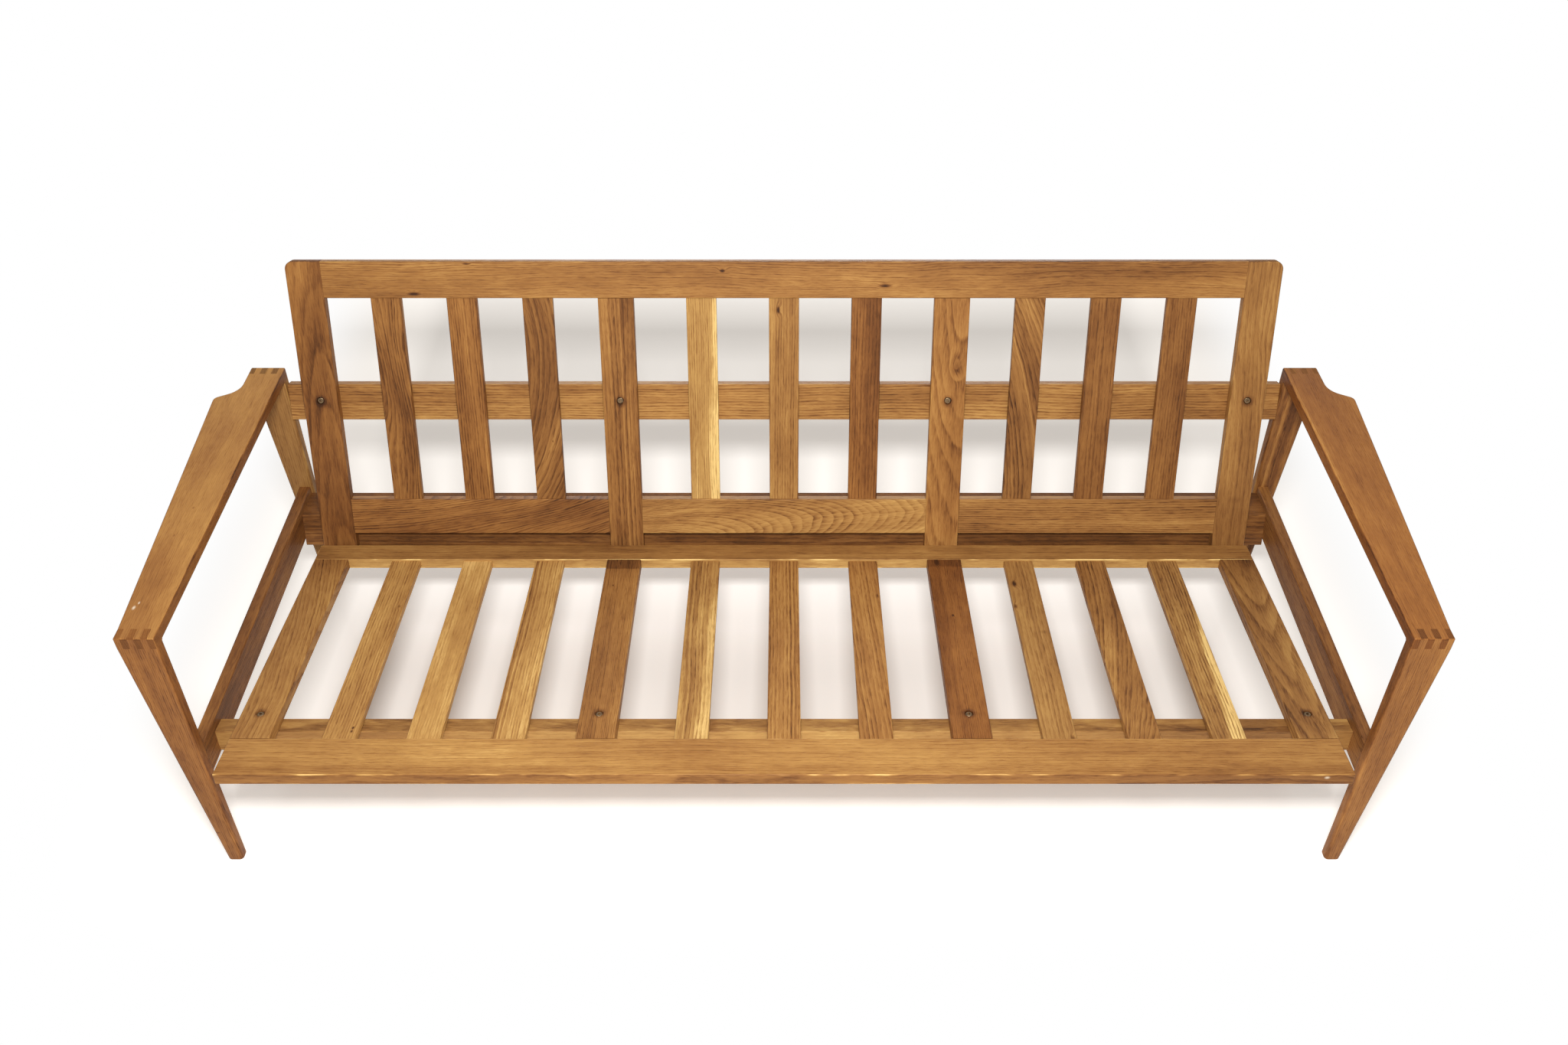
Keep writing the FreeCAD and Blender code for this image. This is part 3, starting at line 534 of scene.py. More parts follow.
class Grain:
    """The grain of one board as wires: its coordinates, rings, fibres, pores and clouds."""

    def __init__(self, graph, board, oak, seed):
        low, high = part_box(board.node)
        self.graph = graph
        self.axes = directions(board.lie, oak)
        spot = graph.add("ShaderNodeTexCoord", {}, {}, "Object") - tuple((low + high) / 2.0)
        self.along, self.across, self.through = (graph.dot(spot, axis) for axis in self.axes)
        self.seed = seed * SEED_STEP
        self.rings(board)
        self.fibres()

    def noise(self, cycles, detail=2.0):
        """A noise that follows the grain, drawn out along it."""
        along, across = cycles
        spot = self.graph.combine(self.along * along + self.seed, self.flow * across + self.seed,
                                  self.through * across)
        return self.graph.noise(spot, detail=detail)

    def swing(self, cycles, detail=2.0):
        """The same noise, swinging evenly about 0."""
        return self.noise(cycles, detail) - NOISE_MEAN

    def rings(self, board):
        """Growth rings round the log's pith, swaying along the board and bulging round its knots."""
        graph = self.graph
        self.flow = self.across
        slow, quick = self.swing(SLOW_SWAY), self.swing(QUICK_SWAY)
        sway = slow * (SLOW_SHARE * board.wild) + quick * (QUICK_SHARE * board.wild)
        for knot in board.knots:
            bulge = self.near(knot.along, knot.across, BULGE_REACH * knot.size, BULGE_WIDTH * knot.size)
            sway = sway + bulge * (BULGE_HEIGHT * knot.size)
        self.flow = self.across + self.along * board.slant[0] + sway
        if board.bow:
            self.flow = self.flow + self.along * self.along * board.bow
        from_pith = self.flow - board.pith[0]
        depth = self.through - board.pith[1] + self.along * board.slant[1] + sway * DEPTH_SHARE
        radius = (from_pith * from_pith + depth * depth) ** 0.5
        count = radius / board.ring
        count = count + UNEVEN_RINGS * graph.noise(graph.combine(count * UNEVEN_CYCLES, self.seed, 0.0))
        whole = graph.calculate("FLOOR", count)
        share = count - whole
        chance = graph.add("ShaderNodeTexWhiteNoise", {"noise_dimensions": "1D"}, {"W": whole + self.seed},
                           "Value")
        strength = FAINTEST_RING + (1 - FAINTEST_RING) * chance
        self.line = graph.ramp(share, low=0.0, high=RING_RISE) * (1 - share) ** RING_FADE * strength

    def fibres(self):
        """Fibres, dark dashes, open pores and broad clouds of tone."""
        graph = self.graph
        self.cloud = self.swing(CLOUDS, detail=3.0)
        self.mottle = self.swing(MOTTLES, detail=3.0)
        self.streak = self.swing(STREAKS)
        self.fibre = self.swing(FIBRES, detail=3.0)
        whole = graph.ramp(self.noise(BREAKS), low=0.36, high=0.62)
        self.broken = self.line * (BROKEN_LEAST + BROKEN_MORE * whole)
        self.dash = graph.ramp(self.noise(DASHES) + RING_PULL * self.line, low=0.54, high=0.72)
        holes = self.noise(PORES, detail=1.0) + RING_PULL * self.line
        self.pores = graph.ramp(holes, low=0.58, high=0.70)

    def near(self, along, across, reach, width, through=None):
        """1 at a place on the board and 0 beyond an oval round it."""
        along = (self.along - along) / reach
        across = (self.across - across) / width
        square = along * along + across * across
        if through is not None:
            through = (self.through - through) / width
            square = square + through * through
        return self.graph.ramp(square ** 0.5, low=1.0, high=0.0)

    def stripe(self, across, width):
        """1 along a line that follows the grain and 0 beyond its width."""
        return self.graph.ramp(abs(self.flow - across), low=width, high=STRIPE_CORE * width)

    def band(self, band):
        """1 between two places along or across the board, with soft edges."""
        spot = self.along if band.way == "along" else self.across
        spot = spot + self.mottle * band.soft
        start = self.graph.ramp(spot, low=band.start - band.soft, high=band.start)
        return start * self.graph.ramp(spot, low=band.stop + band.soft, high=band.stop)


def grain_shade(grain, board):
    """The board's tone with its clouds, streaks, fibres, ring lines and dashes."""
    contrast = board.contrast
    shade = board.tone + grain.cloud * (CLOUD_SHADE + CLOUD_CONTRAST * contrast)
    shade = shade + grain.mottle * MOTTLE_SHADE
    shade = shade + grain.streak * (board.streaks * contrast) + grain.fibre * FIBRE_SHADE
    shade = shade - (grain.broken - LINE_MEAN) * (LINE_CONTRAST * contrast)
    return shade - grain.dash * (DASH_SHADE + DASH_CONTRAST * contrast)


def marked_shade(graph, grain, board, shade):
    """The shade with the board's stripes, sapwood, pores, knots, stains and bands."""
    for stripe in board.stripes:
        shade = shade + grain.stripe(stripe.across, stripe.width) * stripe.change
    if board.sapwood:
        side, edge, slope, pale = board.sapwood
        margin = side * grain.across - edge + grain.along * slope + grain.cloud * SAPWOOD_RAGGED
        shade = shade + graph.ramp(margin, *SAPWOOD_EDGE) * (pale - board.tone)
    shade = graph.greater(shade, DARKEST_GRAIN) - grain.pores * PORE_SHADE
    for knot in board.knots:
        spot = grain.near(knot.along, knot.across, KNOT_HALO * knot.reach, KNOT_HALO * knot.size)
        shade = shade - spot * knot.darkness
    for stain in board.stains:
        shade = shade + grain.near(stain.along, stain.across, stain.reach, stain.width) * stain.change
    for band in board.bands:
        shade = shade + grain.band(band) * band.change
    return shade


def wear_and_painted_shade(graph, grain, board, facing, shade):
    """The shade with a darker top, its ends, painted shade on its sides, dirt and painted shade on its
    arrises, and how far the arrises are rubbed.
    """
    # The top face is made darker.
    if board.top_darkening:
        shade = shade - facing["face"] * board.top_darkening
    even = (board.tone - shade) * END_EVENNESS
    shade = shade + facing["end"] * (even + board.end_shade - END_LINES * grain.line)
    # Painted shade: the side faces are darkened.
    if board.painted_shade_of_sides:
        shade = shade + facing["side"] * board.painted_shade_of_sides
    rub = grain.noise(RUBS, detail=3.0)
    # Darker arrises: partly dirt, partly painted shade.
    shade = shade - facing["arris"] * graph.ramp(rub, low=0.62, high=0.40) * board.arris_dirt_and_shade
    rubbed = facing["arris"] * graph.ramp(rub, low=0.45, high=0.66) * board.wear
    return shade + rubbed, rubbed


def oak_colour(graph, grain, board, oak, shade):
    """The shade as oak, redder where the board has aged, with bare chips."""
    stops = [(0.0, oak.knot), (0.25, oak.deep), (0.5, oak.heart), (0.75, oak.light), (1.0, oak.sapwood)]
    colour = graph.add("ShaderNodeValToRGB", {"stops": stops}, {"Fac": shade}, "Color")
    if board.aged:
        colour = colour * blend(WHITE, oak.red_tint, board.aged)
    for chip in board.chips:
        spot = grain.near(chip.along, chip.across, chip.reach, chip.width, chip.through)
        colour = graph.mix(spot, colour, tuple(oak.bare))
    return colour


def surface_parts(graph, axes):
    """Masks for the board's ends, sides and wide faces and the rounded edges between face and side."""
    normal = graph.add("ShaderNodeTexCoord", {}, {}, "Normal")
    along, across, through = (graph.dot(normal, axis) for axis in axes)
    straight = abs(through)
    return {
        "end": graph.ramp(abs(along), low=0.75, high=0.92),
        "side": graph.ramp(abs(across), low=0.45, high=0.90),
        "arris": graph.ramp(graph.lesser(straight, 1 - straight), low=0.015, high=0.10),
        "face": graph.ramp(through, low=0.90, high=0.98),
    }


def oak_material(board, oak, seed):
    material = bpy.data.materials.new(f"oak_{board.node}")
    graph = Graph(material)
    grain = Grain(graph, board, oak, seed)
    facing = surface_parts(graph, grain.axes)
    shade = marked_shade(graph, grain, board, grain_shade(grain, board))
    shade, rubbed = wear_and_painted_shade(graph, grain, board, facing, shade)
    colour = oak_colour(graph, grain, board, oak, shade)
    roughness = oak.gloss + PORE_ROUGH * grain.pores + CLOUD_ROUGH * grain.cloud - RUBBED_SMOOTH * rubbed
    roughness = roughness + END_ROUGH * facing["end"]
    height = 1 - PORE_DROP * grain.pores - LINE_DROP * grain.line - FIBRE_DROP * grain.fibre
    bump = graph.add("ShaderNodeBump", {}, {"Strength": 0.45, "Distance": oak.pore_depth, "Height": height})
    shader = graph.add("ShaderNodeBsdfPrincipled", {}, {
        "Base Color": colour, "Roughness": roughness, "Normal": bump, "Specular IOR Level": 0.18})
    graph.add("ShaderNodeOutputMaterial", {}, {"Surface": shader})
    return material


def dress(node, material):
    """Gives a CAD node its material in every slot."""
    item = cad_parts.get(node)
    if item is None:
        raise RuntimeError(f"there is no node named {node}")
    if not item.material_slots:
        item.data.materials.append(material)
    for slot in item.material_slots:
        slot.material = material


def dress_boards(boards, oak, first_seed):
    for seed, board in enumerate(boards, start=first_seed):
        dress(board.node, oak_material(board, oak, seed))


# Boards of each group


def arm_boards():
    return [
        Board("armrest_left", "arm", tone=0.62, aged=0.19, contrast=0.14, ring=0.003, wear=0.03,
              arris_dirt_and_shade=0.22, end_shade=-0.34, painted_shade_of_sides=-0.3,
              stains=(patch(0.3, 0.3, 0.07), patch(-0.25, 0.25, -0.07),
                      Stain(0.08, -0.01, 0.16, 0.02, -0.06), Stain(-0.20, 0.0, 0.10, 0.03, -0.06),
                      Stain(-0.05, 0.012, 0.004, 0.0025, -0.3), Stain(-0.115, 0.004, 0.005, 0.002, -0.25)),
              chips=(Chip(-0.272, -0.001, 0.006, 0.0035), Chip(-0.262, 0.003, 0.004, 0.002))),
        Board("armrest_right", "arm", tone=0.50, aged=0.63, contrast=0.14, ring=0.003, wear=0.03,
              arris_dirt_and_shade=0.22, end_shade=-0.19, painted_shade_of_sides=-0.26,
              stains=(Stain(-0.12, -0.01, 0.14, 0.02, 0.06), Stain(0.14, -0.046, 0.28, 0.007, 0.30))),
        Board("front_leg_left", "leg", tone=0.40, aged=0.41, contrast=0.28, ring=0.003, wear=0.06,
              end_shade=-0.01, painted_shade_of_sides=-0.12,
              stains=(patch(-0.22, 0.08, 0.1), Stain(0.16, 0.014, 0.05, 0.012, 0.08),
                      Stain(-0.185, 0.0, 0.002, 0.007, -0.3), Stain(-0.15, -0.006, 0.003, 0.005, 0.12))),
        Board("front_leg_right", "leg", tone=0.52, aged=0.36, contrast=0.28, ring=0.003, wear=0.06,
              end_shade=-0.28, painted_shade_of_sides=-0.14,
              stains=(patch(0.15, 0.2, -0.07), patch(-0.12, 0.12, 0.07))),
        # The back legs' low tones are painted shade of legs that stand in shade; the right leg's higher
        # end_shade keeps its finger ends on the armrest from turning dark.
        Board("back_leg_left", "leg", tone=0.49, aged=-0.6, contrast=0.18, ring=0.004, end_shade=-0.12,
              stains=(patch(-0.2, 0.12, -0.1),)),
        Board("back_leg_right", "leg", tone=0.33, aged=0.12, contrast=0.4, ring=0.012, end_shade=0.04,
              stripes=(Stripe(-0.012, 0.006, 0.22), Stripe(0.004, 0.006, -0.12),
                       Stripe(0.013, 0.004, 0.12))),
        Board("side_rail_left", "side", tone=0.30, aged=0.02, contrast=0.4, wear=0.05),
        Board("side_rail_right", "side", tone=0.35, aged=0.0, contrast=0.45, wear=0.05),
    ]


def cross_boards():
    return [
        # The front stretcher's darker ends are painted shade.
        Board("front_stretcher", "beam", tone=0.60, aged=-0.56, contrast=0.25, ring=0.006, wear=0.05,
              stains=(patch(-0.74, 0.3, -0.18), patch(0.12, 0.25, 0.09), patch(0.72, 0.34, -0.22))),
        Board("rear_stretcher", "beam", tone=0.23, aged=-0.12, contrast=0.4, ring=0.008),
        Board("support_rail", "back_cross", tone=0.54, aged=-0.15, contrast=0.48, ring=0.005, wild=0.008,
              bands=(Band("across", -0.036, -0.010, 0.012, 0.05),), stains=(patch(0.62, 0.35, -0.1),)),
        Board("seat_ledger", "seat_cross", tone=0.50, aged=0.10),
    ]


def seat_frame_boards():
    return [
        Board("seat_front_board", "seat_cross", tone=0.69, aged=-0.06, contrast=0.28, ring=0.0035,
              wild=0.008, wear=0.45, painted_shade_of_sides=-0.16,
              bands=(Band("across", -0.036, -0.024, 0.008, -0.07),),
              stains=(Stain(0.75, 0.0, 0.60, 0.30, -0.16), Stain(-0.80, -0.02, 0.5, 0.03, -0.10)),
              chips=(Chip(0.808, -0.038, 0.006, 0.004, through=0.004),)),
        Board("seat_rear_rail", "seat_cross", tone=0.70, aged=-0.42, contrast=0.3, wear=0.40,
              top_darkening=0.25,
              stains=(patch(-0.75, 0.12, 0.13), Stain(0.05, 0.0, 0.22, 0.014, -0.14),
                      Stain(0.35, 0.004, 0.10, 0.012, -0.12), Stain(-0.30, 0.004, 0.16, 0.010, -0.08))),
    ]


def seat_slat_boards():
    return [
        Board("seat_bearer_left_end", "seat_length", tone=0.53, aged=-0.21, contrast=0.42, ring=0.007,
              wild=0.012, slant=(0.10, 0.02), bow=0.25,
              stains=(patch(0.24, 0.12, -0.18), patch(-0.15, 0.15, 0.06), bolt_dirt_and_shade(SEAT_BOLT))),
        Board("seat_slat_01", "seat_length", tone=0.66, aged=-0.20, contrast=0.42,
              knots=(Knot(-0.205, 0.0165, 0.003, 0.0015, 0.7), Knot(-0.213, 0.0165, 0.003, 0.0015, 0.7),
                     Knot(0.10, 0.018, 0.004, 0.002, 0.35))),
        Board("seat_slat_02", "seat_length", tone=0.76, aged=-0.18, contrast=0.24,
              stains=(patch(0.22, 0.14, 0.1), patch(-0.15, 0.14, -0.06),
                      Stain(0.02, 0.0, 0.14, 0.012, -0.10))),
        Board("seat_slat_03", "seat_length", tone=0.77, aged=-0.22, contrast=0.4,
              stripes=(Stripe(-0.021, 0.004, -0.30), Stripe(-0.014, 0.003, -0.20),
                       Stripe(-0.006, 0.002, -0.10)), stains=(patch(0.26, 0.06, -0.12),)),
        Board("seat_bearer_left_middle", "seat_length", tone=0.47, aged=-0.05, contrast=0.3, ring=0.003,
              knots=(Knot(0.155, -0.012, 0.002, 0.0012, 0.4),),
              bands=(Band("along", 0.206, 0.30, 0.004, -0.20),),
              stains=(patch(0.24, 0.1, -0.16), patch(-0.14, 0.14, 0.05), bolt_dirt_and_shade(SEAT_BOLT))),
        Board("seat_slat_04", "seat_length", tone=0.64, aged=-0.39, contrast=0.55, ring=0.006,
              sapwood=Sapwood(1, 0.011, -0.045, 0.80),
              stripes=(Stripe(-0.020, 0.003, -0.15), Stripe(-0.010, 0.004, -0.15)),
              stains=(patch(0.2, 0.2, -0.15), patch(-0.15, 0.16, 0.10))),
        Board("seat_slat_05", "seat_length", tone=0.54, aged=-0.07, contrast=0.42, ring=0.006,
              stripes=(Stripe(0.013, 0.003, -0.16), Stripe(0.020, 0.003, -0.22)),
              stains=(patch(0.26, 0.07, -0.1),)),
        Board("seat_slat_06", "seat_length", tone=0.58, aged=0.01, contrast=0.45, ring=0.007,
              slant=(0.06, 0.01), knots=(Knot(0.13, 0.021, 0.006, 0.002, 0.4),),
              stains=(patch(0.25, 0.08, -0.07),)),
        Board("seat_bearer_right_middle", "seat_length", tone=0.33, aged=0.46, contrast=0.2, ring=0.003,
              knots=(Knot(0.07, 0.0, 0.003, 0.002, 0.5), Knot(0.225, -0.014, 0.008, 0.004, 0.35)),
              bands=(Band("along", 0.214, 0.30, 0.006, -0.12),), stains=(bolt_dirt_and_shade(SEAT_BOLT),)),
        Board("seat_slat_07", "seat_length", tone=0.57, aged=-0.42, contrast=0.32, ring=0.007,
              knots=(Knot(0.165, -0.0165, 0.008, 0.004, 0.6), Knot(0.10, -0.023, 0.006, 0.003, 0.5),
                     Knot(-0.228, 0.020, 0.006, 0.003, 0.4)),
              stains=(Stain(0.03, 0.015, 0.007, 0.009, -0.15),)),
        Board("seat_slat_08", "seat_length", tone=0.47, aged=-0.19, contrast=0.6, ring=0.007,
              slant=(-0.14, 0.01), bow=0.25,
              stains=(patch(0.0, 0.1, 0.06), patch(-0.26, 0.07, -0.13))),
        Board("seat_slat_09", "seat_length", tone=0.51, aged=-0.50, contrast=0.8, ring=0.005,
              sapwood=Sapwood(1, 0.015, -0.07, 0.95)),
        Board("seat_bearer_right_end", "seat_length", tone=0.43, aged=-0.34, contrast=0.44, ring=0.007,
              wild=0.010, pith=(0.01, -0.05), slant=(0.0, -0.08),
              stains=(patch(0.24, 0.1, -0.15), patch(-0.25, 0.08, 0.1), bolt_dirt_and_shade(SEAT_BOLT))),
    ]


def back_frame_boards():
    return [
        Board("back_stile_left", "back_length", tone=0.35, aged=0.09, contrast=0.32, ring=0.007,
              wild=0.010, pith=(0.012, -0.07), slant=(0.0, 0.07),
              stains=(patch(0.25, 0.1, 0.16), patch(-0.17, 0.1, -0.12), bolt_dirt_and_shade(END_STILE_BOLT))),
        Board("back_stile_right", "back_length", tone=0.47, aged=-0.28, contrast=0.28, ring=0.008,
              wild=0.014, slant=(0.06, 0.0),
              stains=(patch(0.2, 0.15, 0.07), patch(-0.22, 0.12, -0.12), bolt_dirt_and_shade(END_STILE_BOLT),
                      Stain(-0.17, 0.0, 0.010, 0.018, -0.10))),
        Board("back_middle_stile_left", "back_length", tone=0.41, aged=-0.11, contrast=0.5, streaks=1.0,
              ring=0.007,
              stripes=(Stripe(0.005, 0.003, 0.15), Stripe(0.012, 0.002, -0.12)),
              stains=(bolt_dirt_and_shade(MIDDLE_STILE_BOLT),)),
        Board("back_middle_stile_right", "back_length", tone=0.50, aged=0.06, contrast=0.35, ring=0.007,
              wild=0.010, pith=(0.022, 0.055), slant=(0.0, 0.10),
              knots=(Knot(0.105, 0.012, 0.012, 0.006, 0.16),),
              stains=(patch(-0.24, 0.08, 0.08), bolt_dirt_and_shade(MIDDLE_STILE_BOLT))),
        Board("back_top_rail", "back_cross", tone=0.51, aged=-0.10, contrast=0.32, ring=0.004, wild=0.012,
              knots=(Knot(-0.634, -0.024, 0.010, 0.003, 0.6), Knot(0.173, -0.010, 0.010, 0.003, 0.6),
                     Knot(-0.105, 0.016, 0.004, 0.003, 0.6), Knot(-0.54, 0.028, 0.006, 0.002, 0.4)),
              stains=(Stain(0.62, 0.014, 0.34, 0.024, -0.14), Stain(0.30, 0.0, 0.20, 0.03, -0.08))),
        Board("back_bottom_rail_left", "back_cross", tone=0.41, aged=0.01, contrast=0.5, ring=0.0045,
              wild=0.008, pith=(0.30, 0.03), slant=(-0.20, 0.0), bow=-0.45,
              stains=(patch(-0.03, 0.16, 0.1), patch(0.22, 0.14, -0.18))),
        Board("back_bottom_rail_middle", "back_cross", tone=0.59, aged=-0.29, contrast=0.46, ring=0.0028,
              wild=0.006, pith=(-0.020, -0.075), slant=(-0.13, 0.16), stains=(patch(-0.25, 0.1, -0.1),)),
        Board("back_bottom_rail_right", "back_cross", tone=0.50, aged=-0.21, contrast=0.46, ring=0.0045),
    ]


def back_slat_boards():
    return [
        Board("back_slat_01", "back_length", tone=0.42, aged=-0.05, contrast=0.48, ring=0.006, wild=0.022),
        Board("back_slat_02", "back_length", tone=0.42, aged=0.09, contrast=0.4,
              stains=(patch(0.02, 0.08, -0.07), patch(-0.22, 0.08, 0.08),
                      Stain(-0.12, 0.0205, 0.12, 0.003, 0.30))),
        Board("back_slat_03", "back_length", tone=0.33, aged=-0.16, contrast=0.55, ring=0.0085, wild=0.008,
              slant=(-0.20, 0.0), bow=1.1, knots=(Knot(-0.075, 0.010, 0.002, 0.001, 0.5),)),
        Board("back_slat_04", "back_length", tone=0.67, aged=-0.52, contrast=0.4, ring=0.004,
              sapwood=Sapwood(1, 0.0115, -0.025, 0.92)),
        Board("back_slat_05", "back_length", tone=0.53, aged=-0.33, contrast=0.34,
              knots=(Knot(0.165, -0.010, 0.006, 0.003, 0.6),),
              stains=(patch(0.15, 0.12, 0.06), Stain(-0.10, 0.0, 0.05, 0.04, -0.08))),
        Board("back_slat_06", "back_length", tone=0.31, aged=0.22, contrast=0.4, ring=0.005),
        Board("back_slat_07", "back_length", tone=0.34, aged=-0.21, contrast=0.45, ring=0.007, wild=0.010,
              slant=(0.22, 0.02), bow=0.6, stripes=(Stripe(0.012, 0.004, 0.16),),
              stains=(patch(0.19, 0.13, 0.14), patch(-0.02, 0.13, -0.12))),
        Board("back_slat_08", "back_length", tone=0.32, aged=0.00, contrast=0.26, ring=0.006,
              stains=(patch(0.215, 0.05, 0.08), patch(0.13, 0.06, -0.08))),
        Board("back_slat_09", "back_length", tone=0.35, aged=-0.01, contrast=0.26),
    ]


# Metal and dowels


def steel_material(metal):
    material = bpy.data.materials.new("plated_steel")
    graph = Graph(material)
    spot = graph.add("ShaderNodeTexCoord", {}, {}, "Object")
    scratch = graph.noise(spot * SCRATCH_CYCLES, detail=1.0)
    dull = graph.ramp(graph.noise(spot, scale=TARNISH_CYCLES, detail=3.0), low=0.42, high=0.70)
    colour = graph.mix(dull * TARNISH_SHARE, tuple(metal.steel), tuple(metal.tarnish))
    roughness = STEEL_ROUGH + TARNISH_ROUGH * dull + SCRATCH_ROUGH * scratch
    bump = graph.add("ShaderNodeBump", {}, {"Strength": 0.2, "Distance": 0.0001, "Height": scratch})
    shader = graph.add("ShaderNodeBsdfPrincipled", {}, {
        "Base Color": colour, "Metallic": 1.0, "Roughness": roughness, "Normal": bump})
    graph.add("ShaderNodeOutputMaterial", {}, {"Surface": shader})
    return material


def dowel_material(metal):
    material = bpy.data.materials.new("dowel_wood")
    graph = Graph(material)
    spot = graph.add("ShaderNodeTexCoord", {}, {}, "Object")
    fibre = graph.noise(spot * DOWEL_CYCLES, detail=3.0)
    dark = tuple(part * DOWEL_DARK for part in metal.dowel)
    colour = graph.mix(graph.ramp(fibre, low=0.35, high=0.75), tuple(metal.dowel), dark)
    bump = graph.add("ShaderNodeBump", {}, {"Strength": 0.3, "Distance": 0.0002, "Height": fibre})
    shader = graph.add("ShaderNodeBsdfPrincipled", {}, {
        "Base Color": colour, "Roughness": DOWEL_ROUGH + DOWEL_FIBRE_ROUGH * fibre, "Normal": bump})
    graph.add("ShaderNodeOutputMaterial", {}, {"Surface": shader})
    return material


# Operators


class SOFA_OT_arm_frames(bpy.types.Operator):
    """Oil the armrests, legs and side rails."""

    bl_idname = "sofa.arm_frames"
    bl_label = "Arm frames"

    def execute(self, context):
        dress_boards(arm_boards(), context.scene.sofa_oak, ARM_SEED)
        return {"FINISHED"}


class SOFA_OT_cross_members(bpy.types.Operator):
    """Oil the stretchers, the support rail and the ledger."""

    bl_idname = "sofa.cross_members"
    bl_label = "Cross members"

    def execute(self, context):
        dress_boards(cross_boards(), context.scene.sofa_oak, CROSS_SEED)
        return {"FINISHED"}


class SOFA_OT_seat_frame(bpy.types.Operator):
    """Oil the seat's front board and rear rail."""

    bl_idname = "sofa.seat_frame"
    bl_label = "Seat frame"

    def execute(self, context):
        dress_boards(seat_frame_boards(), context.scene.sofa_oak, SEAT_FRAME_SEED)
        return {"FINISHED"}


class SOFA_OT_seat_slats(bpy.types.Operator):
    """Oil the wide and narrow slats of the seat."""

    bl_idname = "sofa.seat_slats"
    bl_label = "Seat slats"

    def execute(self, context):
        dress_boards(seat_slat_boards(), context.scene.sofa_oak, SEAT_SLAT_SEED)
        return {"FINISHED"}


class SOFA_OT_back_frame(bpy.types.Operator):
    """Oil the stiles and rails of the back."""

    bl_idname = "sofa.back_frame"
    bl_label = "Back frame"

    def execute(self, context):
        dress_boards(back_frame_boards(), context.scene.sofa_oak, BACK_FRAME_SEED)
        return {"FINISHED"}


class SOFA_OT_back_slats(bpy.types.Operator):
    """Oil the slats of the back."""

    bl_idname = "sofa.back_slats"
    bl_label = "Back slats"

    def execute(self, context):
        dress_boards(back_slat_boards(), context.scene.sofa_oak, BACK_SLAT_SEED)
        return {"FINISHED"}


class SOFA_OT_fasteners(bpy.types.Operator):
    """Finish the bolts, nuts, screws and dowels."""

    bl_idname = "sofa.fasteners"
    bl_label = "Fasteners"

    def execute(self, context):
        metal = context.scene.sofa_metal
        steel = steel_material(metal)
        for node in ("seat_bolts", "back_bolts", "stretcher_bolts", "support_bolts", "barrel_nuts",
                     "ledger_screws"):
            dress(node, steel)
        dowel = dowel_material(metal)
        for node in ("frame_dowels", "stile_dowels"):
            dress(node, dowel)
        return {"FINISHED"}


class SOFA_OT_stage(bpy.types.Operator):
    """Lay the floor, hang the lamps and set up the camera."""

    bl_idname = "sofa.stage"
    bl_label = "Stage"

    def execute(self, context):
        studio = context.scene.sofa_studio
        lay_floor(context.scene, studio)
        hang_lamps(context.scene, studio)
        light_surroundings(context.scene, studio)
        set_camera(context.scene, studio)
        context.scene.view_settings.view_transform = "Standard"
        return {"FINISHED"}


def lay_floor(scene, studio):
    half = studio.floor_span / 2.0
    corners = [(-half, -half, 0), (half, -half, 0), (half, half, 0), (-half, half, 0)]
    mesh = bpy.data.meshes.new("floor")
    mesh.from_pydata(corners, [], [(0, 1, 2, 3)])
    mesh.materials.append(floor_material(studio))
    floor = bpy.data.objects.new("floor", mesh)
    scene.collection.objects.link(floor)


def floor_material(studio):
    """A pale floor that keeps the object's shadow and turns plain white to the camera away from it."""
    material = bpy.data.materials.new("pale_floor")
    graph = Graph(material)
    spot = graph.add("ShaderNodeTexCoord", {}, {}, "Object")
    sideways, depth = abs(graph.dot(spot, (1, 0, 0))), graph.dot(spot, (0, 1, 0))
    speck = graph.ramp(graph.noise(spot, scale=SPECK_CYCLES, detail=6.0), low=0.35, high=0.75)
    colour = graph.mix(speck, tuple(studio.floor), tuple(part * SPECK_SHADE for part in studio.floor))
    seen = seen_straight(graph)
    glow = graph.mix(seen * glowing_floor(graph, sideways, depth), BLACK, tuple(studio.floor))
    lit = graph.add("ShaderNodeBsdfPrincipled", {}, {
        "Base Color": colour, "Roughness": 0.75, "Specular IOR Level": 0.2,
        "Emission Color": glow, "Emission Strength": studio.floor_glow})
    white = graph.add("ShaderNodeEmission", {}, {"Color": WHITE, "Strength": 1.0})
    away = beyond_shadow(graph, sideways, depth, studio)
    shader = graph.add("ShaderNodeMixShader", {}, {0: seen * away, 1: lit, 2: white})
    graph.add("ShaderNodeOutputMaterial", {}, {"Surface": shader})
    return material


def glowing_floor(graph, sideways, depth):
    """How much the floor glows to the camera: 0 under the front of the seat and 1 out to the sides."""
    behind = GLOW_NEAR_SHARE - GLOW_FAR_LOSS * graph.ramp(depth, *GLOW_FAR)
    behind = graph.ramp(depth, *GLOW_BEHIND) * behind
    glow = graph.greater(behind, graph.ramp(depth, *GLOW_FRONT))
    return graph.greater(glow, graph.ramp(sideways, *GLOW_SIDES))


def beyond_shadow(graph, sideways, depth, studio):
    """0 on the floor under the object and its shadow, and 1 well away from them."""
    low, high = cad_box
    front, rear = low[1] + SHADOW_INSET, high[1] + studio.shadow_depth
    sideways = graph.greater(sideways - high[0], 0.0)
    lengthways = graph.greater(abs(depth - (front + rear) / 2) - (rear - front) / 2, 0.0)
    distance = (sideways * sideways + lengthways * lengthways) ** 0.5
    return graph.ramp(distance, low=0.0, high=studio.shadow_fade)


def seen_straight(graph):
    """1 where the camera sees a surface itself, in gloss or through glass."""
    rays = [graph.add("ShaderNodeLightPath", {}, {}, name)
            for name in ("Is Camera Ray", "Is Glossy Ray", "Is Transmission Ray")]
    return graph.greater(graph.greater(rays[0], rays[1]), rays[2])


